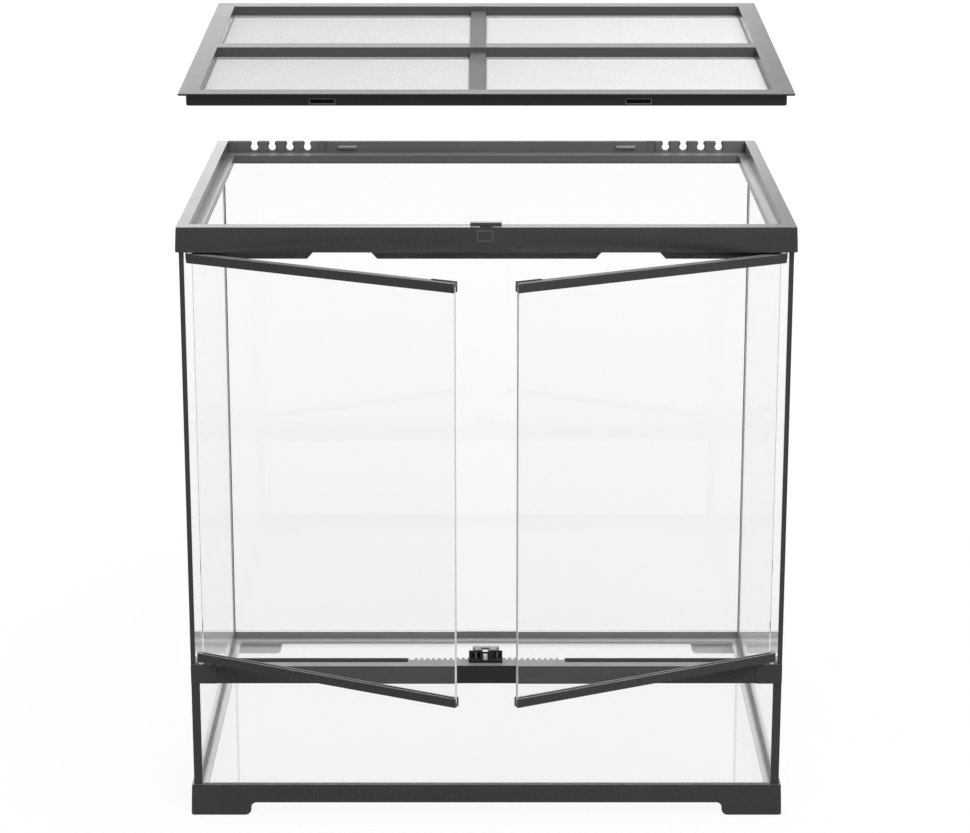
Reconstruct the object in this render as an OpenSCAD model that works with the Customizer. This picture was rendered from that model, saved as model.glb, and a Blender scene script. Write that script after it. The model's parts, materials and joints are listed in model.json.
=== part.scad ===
// Front-opening glass reptile terrarium with a lift-off screen lid.
// Millimetres, +Z up, the doors face -Y, and the feet stand on Z = 0.
// Inside the modules Y = 0 is the front edge of the rim; stand() moves every piece from there to
// the part's own origin, the middle of the floor that it covers with its doors ajar.

/* [Body] */
// Width of both frames at their upper edge
frame_w = 610; // [450:5:900]
// Depth of both frames at their upper edge
frame_d = 458; // [360:2:600]
// Height from the ground to the rim of the top frame
body_h = 623.5; // [450:0.5:800]
// How far each frame face leans out from its upper to its lower edge
draft = 1.5; // [0.2:0.1:2]
// Radius of the frames' upright corners
corner_r = 4; // [2:0.5:5]

/* [Glass] */
// Thickness of the tank glass
glass_t = 5; // [4:0.25:6]
// Frame wall outside the side glass, at the upper edge
side_wall = 1.7; // [1.2:0.1:3]
// Frame wall in front of the front glass
front_wall = 6; // [5:0.5:8]
// Frame wall behind the back glass
rear_wall = 5.4; // [4.5:0.1:7]
// Leg of the silicone fillet in each inside corner
bead = 2.2; // [1.5:0.1:4]

/* [Base frame] */
// Height of the base frame
base_h = 33; // [29:0.5:45]
// Height of the gap under the skirt, between the feet
foot_gap_h = 13.6; // [12.5:0.1:15]
// Length of each foot along the front and along the side
foot_len = 62.5; // [50:0.5:90]
// Radius where a foot's side meets the ground
foot_toe_r = 6.5; // [3:0.5:6.5]
// Radius where a foot's side meets the skirt
foot_top_r = 5.5; // [3:0.5:5.5]
// Wall of the skirt below the floor glass
skirt_t = 3; // [2.5:0.1:4]
// Top of the shelf that carries the floor glass
shelf_z = 19.5; // [18.5:0.5:22]
// Thickness of that shelf
shelf_t = 2.5; // [2:0.1:4]
// Reach of the shelf in from the frame's upper outer edge
shelf_reach = 14.5; // [10:0.5:25]

/* [Fits] */
// Gap between pieces that move past each other
run_gap = 0.3; // [0.25:0.05:0.4]
// Clearance of a part pushed into its seat
push_fit = 0.02; // [0.01:0.01:0.04]

/* [Top frame] */
// Height of the top frame
top_h = 25; // [24:0.5:32]
// Width of the rim along the sides
rim_side = 11.6; // [10.5:0.1:16]
// Depth of the rim along the front
rim_front = 15; // [14:0.5:22]
// Depth of the rim along the rear
rim_rear = 6; // [5.5:0.1:7]
// Depth of the recess that takes the lid's skirt
recess = 12.5; // [11.5:0.1:13]
// Thickness of the ledge at the bottom of the recess
ledge_t = 8; // [6:0.5:9]
// Reach of the ledge in from the recess wall, at the front and sides
ledge_reach = 9; // [6:0.5:14]
// Reach of the ledge in from the rear recess wall
ledge_rear_reach = 18; // [10:0.5:24]
// Depth to which the side glass runs below the rim
rim_cap = 4; // [3:0.5:6]
// Height of the door stop below the front rim
stop_h = 9; // [6:0.5:11]
// Thickness of the door stop
stop_t = 2; // [1.5:0.1:3]
// Distance of the door stop's ends in from the side glass
stop_edge = 1; // [0.5:0.1:40]
// Gap between the shut doors and the stop
stop_gap = 0.4; // [0.3:0.1:0.8]
// Start of the gap in the door stop, from the middle
stop_gap_in = 116; // [60:1:120]
// End of that gap
stop_gap_out = 169; // [160:1:172]
// Run of the sloping ends of the gap
stop_slope = 9; // [4:0.5:12]
// Width of the plain raised pad on the front face
pad_w = 15; // [8:0.5:30]
// Height of the pad
pad_h = 10.4; // [6:0.1:14]
// Sideways offset of the pad from the middle
pad_x = -1.2; // [-5:0.1:5]
// Depth of the pad's upper edge below the rim
pad_drop = 3.3; // [2:0.1:6]
// Distance of the pad's face in front of the rim's front edge
pad_rise = 1.3; // [1.1:0.1:1.4]

/* [Cable inlets] */
// Number of inlets on each side
inlets = 4; // [2:1:4]
// Pitch of the inlets
inlet_pitch = 20.06; // [19:0.01:21]
// Distance of the outermost inlet in from the recess wall
inlet_edge = 29.9; // [26:0.1:36]
// Radius of the round part of an inlet
inlet_r = 4.2; // [3.5:0.1:4.5]
// Width of an inlet's neck
inlet_neck = 6; // [4:0.5:6.5]
// Depth of an inlet from the rim
inlet_depth = 10.8; // [9.5:0.1:11]
// Flare of an inlet's mouth on either side
inlet_flare = 1.5; // [0.5:0.1:2]
// Thickness of the sliding shutters
shutter_t = 1.6; // [1.2:0.1:1.8]
// Sideways travel of a shutter
shutter_travel = 10; // [9.5:0.1:10.5]
// Running gap round a shutter
shutter_gap = 0.3; // [0.3:0.05:0.5]
// Distance of a shutter's ends from the recess wall and past the last inlet's pitch line
shutter_edge = 1.4; // [0.8:0.1:2]
// Depth to which a shutter runs below the top of the ledge
shutter_seat = 3; // [2:0.1:4]
// Extra width of a shutter's slot on either side of an inlet
shutter_lap = 1; // [0.5:0.1:1.5]
// Width of a hook tab on the rear wall
hook_w = 22; // [14:1:30]
// Distance of each hook tab in from the end of a shutter's travel
hook_gap = 12.6; // [6:0.1:40]
// Height of a hook tab
hook_h = 3; // [2:0.1:4]
// Depth of a hook tab's top below the rim
hook_drop = 5; // [4:0.1:6]
// Reach of a hook tab from the rear wall
hook_reach = 2.5; // [1.5:0.1:3]

/* [Vent rail] */
// Height of the rail's underside
rail_z = 144.2; // [120:0.1:200]
// Height of the rail
rail_h = 19.3; // [17:0.1:26]
// Setback of the rail's face behind the rim's front edge
rail_y = 3; // [2:0.1:4]
// Depth of the rail from front to rear
rail_d = 23.6; // [21:0.1:30]
// Width of each hinge block at the ends of the rail
block_w = 27; // [20:0.5:32]
// Height of a hinge block above the rail
block_rise = 1.8; // [1:0.1:2.2]
// Setback of a hinge block's outer face from the outside of the side glass
block_inset = 0.2; // [0.1:0.05:0.5]
// Setback of a hinge block's face
block_y = 1.6; // [1:0.1:2]
// Inner end of each vent slot, from the middle
slot_in = 80; // [50:1:100]
// Distance of each vent slot's outer end from the hinge block
slot_edge = 18.3; // [10:0.1:60]
// Corner radius of the vent slots
slot_r = 2.5; // [1:0.1:4]
// Setback of the vent slots behind the rail's face
slot_y = 11.3; // [10:0.1:12]
// Wall of the rail behind the slots
rail_rear_t = 1; // [0.8:0.1:2]
// Thickness of the rail's top plate
rail_top_t = 2.5; // [2:0.1:3]
// Wall at each end of the rail's air channel
rail_end_t = 4; // [2:0.1:6]
// Depth to which the lower front glass enters the rail
glass_lap = 7.7; // [5:0.1:9]
// Pitch of the comb teeth
comb_pitch = 6; // [5:0.5:8]
// Distance of the comb's ends from the vent slots
comb_edge = 0.5; // [0.3:0.1:2]
// Depth to which the comb sits below the rail's top plate
comb_sink = 0.5; // [0.2:0.1:1]
// Radius of each comb tooth
comb_r = 1.7; // [1.2:0.1:2.2]
// Length of each comb tooth
comb_tooth = 5; // [3:0.1:6]
// Thickness of the vent mesh
vent_mesh_t = 0.8; // [0.5:0.1:1.2]
// Depth of the vent mesh's lower face below the rail's top
vent_mesh_drop = 7.5; // [5:0.1:10]
// Width of the trim that caps the side glass above the rail
trim_w = 4.8; // [3:0.1:4.8]
// Width of that trim below the rail
trim_low_w = 8.7; // [6:0.1:12]
// Thickness of the edge trim
trim_t = 2.6; // [1.5:0.1:2.6]

/* [Doors] */
// How far the doors stand open as the part is stored, in degrees
door_open = 25.4; // [10:0.1:60]
// Distance of the hinge axis in from the side glass
pivot_in = 5.9; // [5.5:0.1:7]
// Setback of the hinge axis
pivot_y = 6; // [5.5:0.1:6.5]
// Thickness of the door rails
door_t = 8; // [7:0.1:8]
// Thickness of the door glass
door_glass_t = 4; // [3:0.25:4.5]
// Height of the lower and upper door rails
door_rail_h = 9.5; // [8:0.1:12]
// Solid web of a door rail beside its glass groove
door_web = 3.4; // [2.5:0.1:4.5]
// Start of the door glass past the hinge pin
door_glass_start = 0.6; // [0.3:0.1:2]
// Setback of the door glass from the free end of its rails
door_glass_end = 0.8; // [0:0.1:2]
// Gap between the hinge blocks and the lower door rails
door_lift = 2.3; // [2:0.1:3]
// Gap between the top frame and the upper door rails
door_head_gap = 2.4; // [2:0.1:4]
// Gap between the two closed doors
door_meet_gap = 1.4; // [1:0.1:3]
// Radius of the hinge pins
pin_r = 2; // [1.5:0.1:2.2]
// Running clearance of a hinge pin in its bush
pin_run = 0.06; // [0.02:0.01:0.1]
// Radius of the hinge bushes
bush_r = 3.2; // [2.9:0.1:3.4]
// Depth to which a bush and its pin reach
bush_depth = 7; // [5:0.5:8]
// Width of a door strike
strike_w = 7; // [4:0.5:8]
// Distance of a shut door's strike from the middle of the tank
strike_mid = 10.8; // [10.4:0.1:11.2]
// Reach of a strike behind its rail
strike_reach = 3.2; // [2:0.1:3.4]
// Height of a strike
strike_h = 4.5; // [3:0.1:6]
// Height of a strike's lower face above the rail's underside
strike_lift = 2; // [1.5:0.1:3]
// Length of the bumper at a door's free end
bumper_len = 27; // [15:1:40]
// Height of the bumper above its rail
bumper_h = 0.8; // [0.5:0.1:1]
// Setback of the bumper from the middle of its rail
bumper_y = 0.6; // [0:0.1:1.5]

/* [Latch] */
// Left edge of the latch housing
latch_x0 = -18; // [-22:0.1:-18]
// Right edge of the latch housing
latch_x1 = 16.3; // [16.3:0.1:22]
// Left edge of the slot between its towers
latch_slot_x0 = -3.9; // [-4.5:0.1:-3]
// Right edge of the slot between its towers
latch_slot_x1 = 1.5; // [1:0.1:2.5]
// Setback of the housing's face
latch_y = 10.7; // [10.7:0.1:12]
// Depth of the housing
latch_d = 11.3; // [11:0.1:13]
// Height of the towers
latch_h = 13.4; // [12:0.1:16]
// Thickness of the cap plate over the towers
latch_cap_t = 1; // [0.6:0.1:2]
// Inset of the cap plate at the left end
cap_left = 4; // [2:0.1:6]
// Inset of the cap plate at the right end
cap_right = 3.3; // [2:0.1:6]
// Inset of the cap plate at the front
cap_front = 1.5; // [0.5:0.1:3]
// Drop of the housing's shoulders beside the cap plate
shoulder_drop = 4.5; // [2:0.5:6]
// Room beside a shut door's strike in its bay
bay_side = 1.3; // [1:0.1:1.6]
// Wall behind the bays
bay_rear_t = 2.2; // [1.5:0.1:3]
// Setback of the rollers behind the housing's face
roller_setback = 5.9; // [5.5:0.1:6.3]
// Radius of the latch rollers
roller_r = 2.2; // [1.8:0.1:2.4]
// Radius of the roller pins
roller_pin_r = 1; // [0.7:0.1:1.1]
// Running clearance of a roller on its pin
roller_run = 0.06; // [0.02:0.01:0.1]
// Travel of the release lever
lever_travel = 3; // [1.5:0.1:3]
// Height of the release lever
lever_h = 8.7; // [6:0.1:10]
// Setback of the lever behind the housing's face
lever_setback = 0.6; // [0.3:0.1:1]
// Height of the lug behind the lever, below the lever's top
lug_drop = 0.5; // [0.2:0.1:1]

/* [Lid] */
// Width of the lid's flange
lid_w = 600; // [598:0.5:604]
// Depth of the lid's flange
lid_d = 448; // [446:0.5:449]
// Thickness of the flange
flange_t = 2; // [1.5:0.1:2]
// Depth of the lid from the top of its flange to the bottom of its skirt
lid_h = 13.2; // [12.5:0.1:13.2]
// Wall of the lid's skirt, bars and channels
lid_wall = 2; // [1.5:0.1:2.5]
// Clearance of the skirt in the recess
lid_fit = 0.5; // [0.3:0.1:0.8]
// Gap under the seated flange
lid_seat_gap = 0.3; // [0.3:0.1:0.5]
// Width of the frame round the screen
lid_border = 19.6; // [17:0.2:26]
// Width of the bar that runs across
cross_bar = 21; // [14:0.5:30]
// Width of the bar that runs from front to rear
centre_bar = 17; // [12:0.5:30]
// Sideways offset of that bar from the middle
centre_bar_x = -8.7; // [-20:0.1:20]
// Depth of that bar's top below the top of the flange
centre_bar_drop = 5.6; // [3:0.1:7]
// Depth of the screen below the top of the flange
screen_drop = 11; // [9:0.1:11]
// Thickness of the screen
screen_t = 0.8; // [0.5:0.1:0.9]
// Openings across each screen
screen_cells_x = 10; // [6:1:12]
// Openings from the front to the rear of each screen
screen_cells_y = 7; // [4:1:10]
// Width of the bars between the openings
screen_bar = 1.6; // [1:0.1:3]
// Width of the clip strip that holds the screen
clip_w = 2; // [1.4:0.1:2.4]
// Thickness of the clip strip
clip_t = 1; // [0.6:0.1:1.4]
// Inset of the screen and its clips from the channel's outer wall
screen_inset = 0.3; // [0.2:0.05:0.5]
// Radius of the skirt's upright corners
lid_corner_r = 4; // [2:0.5:5]
// Radius of the flange's corners
flange_corner_r = 2; // [1:0.5:4]
// Lift of the lid's front edge above its seat, as the part is stored
lid_lift = 128.8; // [60:0.2:200]
// Tilt of the lid as the part is stored, in degrees
lid_tilt = 3.35; // [2:0.05:5]
// Middle of the left slot in the lid's front skirt
lid_slot_left = -160; // [-180:1:-120]
// Middle of the right slot in the lid's front skirt
lid_slot_right = 148; // [120:1:180]
// Length of each slot
lid_slot_len = 24; // [15:1:30]
// Thickness of the wall behind each slot
lid_slot_back = 1.2; // [0.8:0.1:2]
// Height of each slot
lid_slot_h = 4.2; // [3:0.1:5]
// Depth of the slots' lower edge below the top of the flange
lid_slot_drop = 10.9; // [9:0.1:11.5]
// Room round a hook tab in the lid's skirt
hook_clear = 1; // [0.5:0.1:1.5]

/* [Lid lock] */
// Width of the sliding lock
lock_w = 31; // [20:1:40]
// Sideways offset of the lock from the middle
lock_x = -0.5; // [-5:0.5:5]
// Setback of the lock's face
lock_y = 2.6; // [2.6:0.1:3.2]
// Height of the lock above the rim
lock_h = 4; // [3.6:0.1:5]
// Travel of the lock over the lid's flange
lock_travel = 4; // [3:0.1:4]
// Width of the lock's stem
lock_stem_w = 12; // [8:1:18]
// Thickness of the stem
lock_stem_t = 1.8; // [1.2:0.1:2]
// Length of the stem below the rim
lock_stem_len = 8; // [5:0.5:9]
// Thickness of the lock's upright
lock_post_t = 2.4; // [1.5:0.1:3]

/* [Hidden] */

$fn = 48;
LEFT = -1;
RIGHT = 1;
eps = 1;                                    // overshoot of a cutting solid past a face
plastic = "#3c3c3e";
dark_plastic = "#2b2b2d";
steel = "#b9bcc0";
clear_glass = [0.86, 0.92, 0.91, 0.35];
mesh_grey = [0.55, 0.56, 0.58, 0.6];
silicone = [0.6, 0.62, 0.63, 0.7];

// Glass box
glass_x = frame_w / 2 - side_wall;          // outer face of the side glass
in_x = glass_x - glass_t;                   // inner face of the side glass
front_in = front_wall + glass_t;            // inner face of the front glass
back_out = frame_d - rear_wall;             // outer face of the back glass
back_in = back_out - glass_t;               // inner face of the back glass
floor_z = shelf_z + glass_t;                // top of the floor glass

// Top frame
top_z = body_h - top_h;                     // its lower edge
ledge_z = body_h - recess;                  // top of the ledge
ledge_under = ledge_z - ledge_t;            // underside of the ledge
recess_x = frame_w / 2 - rim_side;
recess_y0 = rim_front;
recess_y1 = frame_d - rim_rear;
side_glass_top = body_h - rim_cap;

// Vent rail
rail_top = rail_z + rail_h;
rail_back = rail_y + rail_d;
block_top = rail_top + block_rise;
block_x0 = glass_x - block_w;               // inner end of a hinge block
low_glass_top = rail_z + glass_lap;         // top edge of the front glass, inside the rail
slot_front = rail_y + slot_y;
slot_back = rail_back - rail_rear_t;
slot_out = block_x0 - slot_edge;
comb_half = slot_in - comb_edge;
comb_t = rail_top_t + comb_sink;
vent_mesh_z = rail_top - vent_mesh_drop;

// Doors
pivot_x = in_x - pivot_in;
door_z0 = block_top + door_lift;
door_z1 = top_z - door_head_gap;
door_len = pivot_x - door_meet_gap / 2;
bush_flange_t = door_lift - run_gap;
bush_flange_r = bush_r + 1;
head_flange_t = door_head_gap - run_gap;
pin_reach = bush_depth - 0.5;               // leaves a floor in the bush below its bore
strike_x = pivot_x - strike_mid - strike_w / 2;
glass_x0 = pin_r + door_glass_start;
stop_y = pivot_y + door_t / 2 + stop_gap;
stop_half = in_x - stop_edge;

// Latch
tower_top = rail_top + latch_h;
bay_half = strike_w / 2 + bay_side;         // half the clear width of a roller bay
bay_floor = 3;
bay_roof = 1.4;
bay_xs = [-strike_mid, strike_mid];
roller_y = latch_y + roller_setback;
pin_foot = rail_top + bay_floor - 1;        // a roller's pin is sunk in the floor of its bay
bridge_h = 2.5;
lug_t = 2;                                  // wall behind the lever that backs its spring
spring_r = 1.6;
spring_wire = 0.4;
spring_turns = 3;
spring_sides = 6;
spring_steps = 16;                          // rings in one turn
spring_play = 0.05;                         // between the spring and what it bears on
spring_room = lever_travel + spring_turns * spring_wire + run_gap;
lever_y = latch_y + lever_setback;
lever_d = latch_d - lug_t - lever_setback - spring_room;

// Inlet shutters
inlet_out = recess_x - inlet_edge;          // the outermost inlet
inlet_in = inlet_out - (inlets - 1) * inlet_pitch;
shutter_x0 = inlet_in - inlet_pitch / 2 - shutter_edge;
shutter_x1 = recess_x - shutter_edge;
shutter_z0 = ledge_z - shutter_seat;
shutter_z1 = body_h - run_gap;
shutter_slot_w = 2 * (inlet_r + shutter_lap);
shutter_in = shutter_x0 - shutter_travel - shutter_gap;     // end of the shutter's rebate
rebate_t = shutter_t + 2 * shutter_gap;
inlet_z = body_h - inlet_depth + inlet_r;   // centre of the round part
hook_x = shutter_in - hook_gap - hook_w / 2;

// Lid, described where it seats
lid_y0 = (recess_y0 + recess_y1 - lid_d) / 2;
lid_y1 = lid_y0 + lid_d;
flange_z0 = body_h + lid_seat_gap;
flange_z1 = flange_z0 + flange_t;
skirt_z0 = flange_z1 - lid_h;
skirt_x = recess_x - lid_fit;
skirt_y0 = recess_y0 + lid_fit;
skirt_y1 = recess_y1 - lid_fit;
screen_z1 = flange_z1 - screen_drop;        // top of the screen
window_x = lid_w / 2 - lid_border;
window_y0 = lid_y0 + lid_border;
window_y1 = lid_y1 - lid_border;
bar_y = (lid_y0 + lid_y1) / 2;
swing_r = lid_lift / sin(lid_tilt);         // distance from the lid's far axis to its front edge
swing_y = lid_y0 - swing_r;

// Origin: the middle of the ground covered, from the open doors' corners to the rear skirt
door_front = pivot_y - door_len * sin(door_open) - door_t / 2 * cos(door_open);
origin_y = (door_front + frame_d + draft) / 2;

// ---------------------------------------------------------------- helpers

module stand() {
    translate([0, -origin_y, 0]) children();
}

// A block given by two opposite corners.
module block(a, b) {
    translate(a) cube([b[0] - a[0], b[1] - a[1], b[2] - a[2]]);
}

// The same block on the side s of the middle, with its x values counted outwards.
module side_block(s, a, b) {
    if (s > 0) block(a, b);
    else block([-b[0], a[1], a[2]], [-a[0], b[1], b[2]]);
}

// A rectangle with round corners, from (x0, y0) to (x1, y1).
module round_rect(x0, y0, x1, y1, r) {
    translate([x0 + r, y0]) square([x1 - x0 - 2 * r, y1 - y0]);
    translate([x0, y0 + r]) square([x1 - x0, y1 - y0 - 2 * r]);
    for (x = [x0 + r, x1 - r], y = [y0 + r, y1 - r]) translate([x, y]) circle(r);
}

module round_plate(x0, y0, x1, y1, z0, z1, r) {
    translate([0, 0, z0]) linear_extrude(z1 - z0) round_rect(x0, y0, x1, y1, r);
}

// Extrudes a profile drawn in X and Z along Y, from y0 to y1.
module along_y(y0, y1) {
    translate([0, y1, 0]) rotate([90, 0, 0]) linear_extrude(y1 - y0) children();
}

// Extrudes a profile drawn in Y and Z along X, from x0 to x1.
module along_x(x0, x1) {
    translate([x0, 0, 0]) rotate([90, 0, 90]) linear_extrude(x1 - x0) children();
}

// The outer form of a frame: every face leans out by the draft towards the lower edge.
module frame_form(z0, z1) {
    intersection() {
        along_y(-draft, frame_d + draft)
            polygon([[-frame_w / 2 - draft, z0], [frame_w / 2 + draft, z0],
                [frame_w / 2, z1], [-frame_w / 2, z1]]);
        along_x(-frame_w / 2 - draft, frame_w / 2 + draft)
            polygon([[-draft, z0], [frame_d + draft, z0], [frame_d, z1], [0, z1]]);
        round_plate(-frame_w / 2 - draft, -draft, frame_w / 2 + draft, frame_d + draft,
            z0, z1, corner_r);
    }
}

// The gap between two feet, drawn with its ground line at 0: it meets the skirt in a
// concave corner and the ground in a rounded toe.
module foot_gap(x0, x1) {
    translate([x0 + foot_top_r, -eps]) square([x1 - x0 - 2 * foot_top_r, foot_gap_h + eps]);
    translate([x0, -eps]) square([x1 - x0, foot_gap_h - foot_top_r + eps]);
    for (x = [x0 + foot_top_r, x1 - foot_top_r])
        translate([x, foot_gap_h - foot_top_r]) circle(foot_top_r);
    for (s = [-1, 1]) {
        edge = s < 0 ? x0 : x1;
        toe = edge + s * foot_toe_r;
        difference() {
            translate([min(edge, toe), -eps]) square([foot_toe_r, foot_toe_r + eps]);
            translate([toe, foot_toe_r]) circle(foot_toe_r);
        }
    }
}

// ---------------------------------------------------------------- glass box

module base_frame() {
    half_w = frame_w / 2 + draft;
    color(plastic) difference() {
        frame_form(0, base_h);
        block([-glass_x, front_wall, shelf_z], [glass_x, back_out, base_h + eps]);
        block([-frame_w / 2 + shelf_reach, shelf_reach, -eps],
            [frame_w / 2 - shelf_reach, frame_d - shelf_reach, base_h]);
        block([-half_w + skirt_t, -draft + skirt_t, -eps],
            [half_w - skirt_t, frame_d + draft - skirt_t, shelf_z - shelf_t]);
        along_y(-draft - eps, frame_d + draft + eps)
            foot_gap(-half_w + foot_len, half_w - foot_len);
        along_x(-half_w - eps, half_w + eps)
            foot_gap(-draft + foot_len, frame_d + draft - foot_len);
    }
}

module floor_glass() {
    color(clear_glass) block([-glass_x, front_wall, shelf_z], [glass_x, back_out, floor_z]);
}

module side_glass(s) {
    color(clear_glass) side_block(s, [in_x, front_wall, floor_z], [glass_x, back_in, side_glass_top]);
}

module back_glass() {
    color(clear_glass) block([-glass_x, back_in, floor_z], [glass_x, back_out, ledge_under]);
}

module front_lower_glass() {
    color(clear_glass) block([-in_x, front_wall, floor_z], [in_x, front_in, low_glass_top]);
}

// Fillets of silicone along the inside corners of the glass.
module silicone_seals() {
    color(silicone) {
        for (s = [LEFT, RIGHT]) {
            translate([0, 0, floor_z]) linear_extrude(ledge_under - floor_z)
                polygon([[s * in_x, back_in], [s * (in_x - bead), back_in],
                    [s * in_x, back_in - bead]]);
            translate([0, 0, floor_z]) linear_extrude(rail_z - floor_z)
                polygon([[s * in_x, front_in], [s * (in_x - bead), front_in],
                    [s * in_x, front_in + bead]]);
            along_y(front_in, back_in)
                polygon([[s * in_x, floor_z], [s * (in_x - bead), floor_z],
                    [s * in_x, floor_z + bead]]);
        }
        along_x(-in_x, in_x)
            polygon([[back_in, floor_z], [back_in - bead, floor_z], [back_in, floor_z + bead]]);
        along_x(-in_x, in_x)
            polygon([[front_in, floor_z], [front_in + bead, floor_z],
                [front_in, floor_z + bead]]);
    }
}

// Caps the front edge of a side glass, above and below the hinge block.
module edge_trim(s) {
    y0 = front_wall - trim_t;
    color(plastic) {
        side_block(s, [in_x, y0, block_top], [in_x + trim_w, front_wall, top_z]);
        side_block(s, [in_x + trim_w - trim_low_w, y0, base_h],
            [in_x + trim_w, front_wall, rail_z]);
    }
}

// ---------------------------------------------------------------- top frame

// One cable inlet, drawn in X and Z round x: a round hole, a neck and a flared mouth.
module inlet_shape(x) {
    half = inlet_neck / 2;
    wide = half + inlet_flare;
    translate([x, inlet_z]) circle(inlet_r);
    translate([x - half, inlet_z]) square([inlet_neck, body_h - inlet_z + eps]);
    translate([x, body_h])
        polygon([[-half, -inlet_flare], [half, -inlet_flare], [wide, 0], [wide, eps],
            [-wide, eps], [-wide, 0]]);
}

// The inlets on the side s, from the innermost outwards.
function inlet_xs(s) = [for (i = [0 : inlets - 1]) s * (inlet_in + i * inlet_pitch)];

// The door stop hangs below the front rim; each of its gaps has sloping ends.
module door_stop() {
    cut = stop_h + eps;
    difference() {
        block([-stop_half, stop_y, top_z - stop_h], [stop_half, stop_y + stop_t, top_z + eps]);
        for (s = [LEFT, RIGHT]) along_y(stop_y - eps, stop_y + stop_t + eps)
            polygon([[s * (stop_gap_in - stop_slope), top_z - cut],
                [s * stop_gap_in, top_z], [s * stop_gap_out, top_z],
                [s * (stop_gap_out + stop_slope), top_z - cut]]);
    }
}

module top_frame() {
    pad_z1 = body_h - pad_drop;
    color(plastic) difference() {
        union() {
            difference() {
                frame_form(top_z, body_h);
                block([-recess_x, recess_y0, ledge_z], [recess_x, recess_y1, body_h + eps]);
                block([-recess_x + ledge_reach, recess_y0 + ledge_reach, top_z - eps],
                    [recess_x - ledge_reach, recess_y1 - ledge_rear_reach, body_h]);
                block([-in_x, rim_front, top_z - eps], [in_x, back_in, ledge_under]);
                block([-glass_x, back_in, top_z - eps], [glass_x, back_out, ledge_under]);
                for (s = [LEFT, RIGHT])
                    side_block(s, [in_x, front_wall, top_z - eps],
                        [glass_x, back_in, side_glass_top]);
            }
            door_stop();
            block([pad_x - pad_w / 2, -pad_rise, pad_z1 - pad_h], [pad_x + pad_w / 2, front_wall, pad_z1]);
            for (s = [LEFT, RIGHT])
                block([s * hook_x - hook_w / 2, recess_y1 - hook_reach, body_h - hook_drop - hook_h],
                    [s * hook_x + hook_w / 2, recess_y1 + eps, body_h - hook_drop]);
        }
        for (s = [LEFT, RIGHT]) {
            translate([s * pivot_x, pivot_y, top_z - eps])
                cylinder(r = bush_r + push_fit, h = bush_depth + eps);
            side_block(s, [shutter_in, recess_y1, shutter_z0 - shutter_gap],
                [recess_x, recess_y1 + rebate_t, body_h + eps]);
            along_y(recess_y1 - eps, frame_d + draft + eps)
                for (x = inlet_xs(s)) inlet_shape(x);
        }
        block([lock_x - lock_stem_w / 2 - run_gap, lock_y, body_h - lock_stem_len - eps],
            [lock_x + lock_stem_w / 2 + run_gap, lock_y + lock_stem_t + lock_travel + 2 * run_gap,
            body_h + eps]);
    }
}

// Slides towards the middle to close the inlets on its side.
module inlet_shutter(s) {
    y0 = recess_y1 + shutter_gap;
    color(dark_plastic) difference() {
        side_block(s, [shutter_x0, y0, shutter_z0], [shutter_x1, y0 + shutter_t, shutter_z1]);
        for (x = inlet_xs(s))
            block([x - shutter_slot_w / 2, y0 - eps, inlet_z - inlet_r - shutter_lap / 2],
                [x + shutter_slot_w / 2, y0 + shutter_t + eps, shutter_z1 + eps]);
    }
}

module lid_lock() {
    x0 = lock_x - lock_w / 2;
    x1 = lock_x + lock_w / 2;
    z0 = body_h + run_gap;
    z1 = body_h + lock_h;
    stem_y = lock_y + run_gap;
    color(plastic) {
        block([x0, lock_y, z0], [x1, lock_y + lock_post_t, z1]);
        block([x0, lock_y, flange_z1 + run_gap], [x1, lid_y0 - run_gap, z1]);
        block([lock_x - lock_stem_w / 2, stem_y, body_h - lock_stem_len],
            [lock_x + lock_stem_w / 2, stem_y + lock_stem_t, z0 + eps]);
    }
}

// ---------------------------------------------------------------- vent rail

module vent_rail() {
    color(dark_plastic) difference() {
        block([-block_x0, rail_y, rail_z], [block_x0, rail_back, rail_top]);
        // groove over the front glass
        block([-block_x0 - eps, front_wall, rail_z - eps], [block_x0 + eps, front_in, low_glass_top]);
        // air channel under the top plate
        block([-block_x0 + rail_end_t, slot_front, rail_z - eps],
            [block_x0 - rail_end_t, slot_back, rail_top - rail_top_t]);
        // slots, with round inner ends
        for (s = [LEFT, RIGHT])
            translate([0, 0, rail_top - rail_top_t - eps]) linear_extrude(rail_top_t + 2 * eps)
                round_rect(min(s * slot_in, s * slot_out), slot_front,
                    max(s * slot_in, s * slot_out), slot_back, slot_r);
        // seat of the comb
        block([-comb_half, slot_front, rail_top - comb_t], [comb_half, rail_back + eps, rail_top + eps]);
    }
}

// The plate between the two slots, with a row of round teeth along its rear edge.
module vent_comb() {
    teeth = floor((comb_half - comb_r) / comb_pitch);
    root_y = rail_back - comb_tooth;
    color(plastic) {
        block([-comb_half, slot_front, rail_top - comb_t], [comb_half, root_y, rail_top]);
        for (i = [-teeth : teeth]) translate([i * comb_pitch, rail_back - comb_r, rail_top - comb_t]) {
            cylinder(r = comb_r, h = comb_t);
            block([-comb_r, comb_r - comb_tooth - eps, 0], [comb_r, 0, comb_t]);
        }
    }
}

module vent_mesh() {
    color(mesh_grey) for (s = [LEFT, RIGHT])
        side_block(s, [slot_in, slot_front, vent_mesh_z],
            [slot_out, slot_back, vent_mesh_z + vent_mesh_t]);
}

module hinge_block(s) {
    color(plastic) difference() {
        union() {
            side_block(s, [block_x0, block_y, rail_z], [glass_x - block_inset, front_wall, block_top]);
            side_block(s, [block_x0, front_wall, rail_z], [in_x, rail_back, block_top]);
        }
        side_block(s, [block_x0 - eps, front_wall, rail_z - eps],
            [in_x + eps, front_in, low_glass_top]);
        translate([s * pivot_x, pivot_y, block_top - bush_depth])
            cylinder(r = bush_r + push_fit, h = bush_depth + eps);
    }
}

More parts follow.
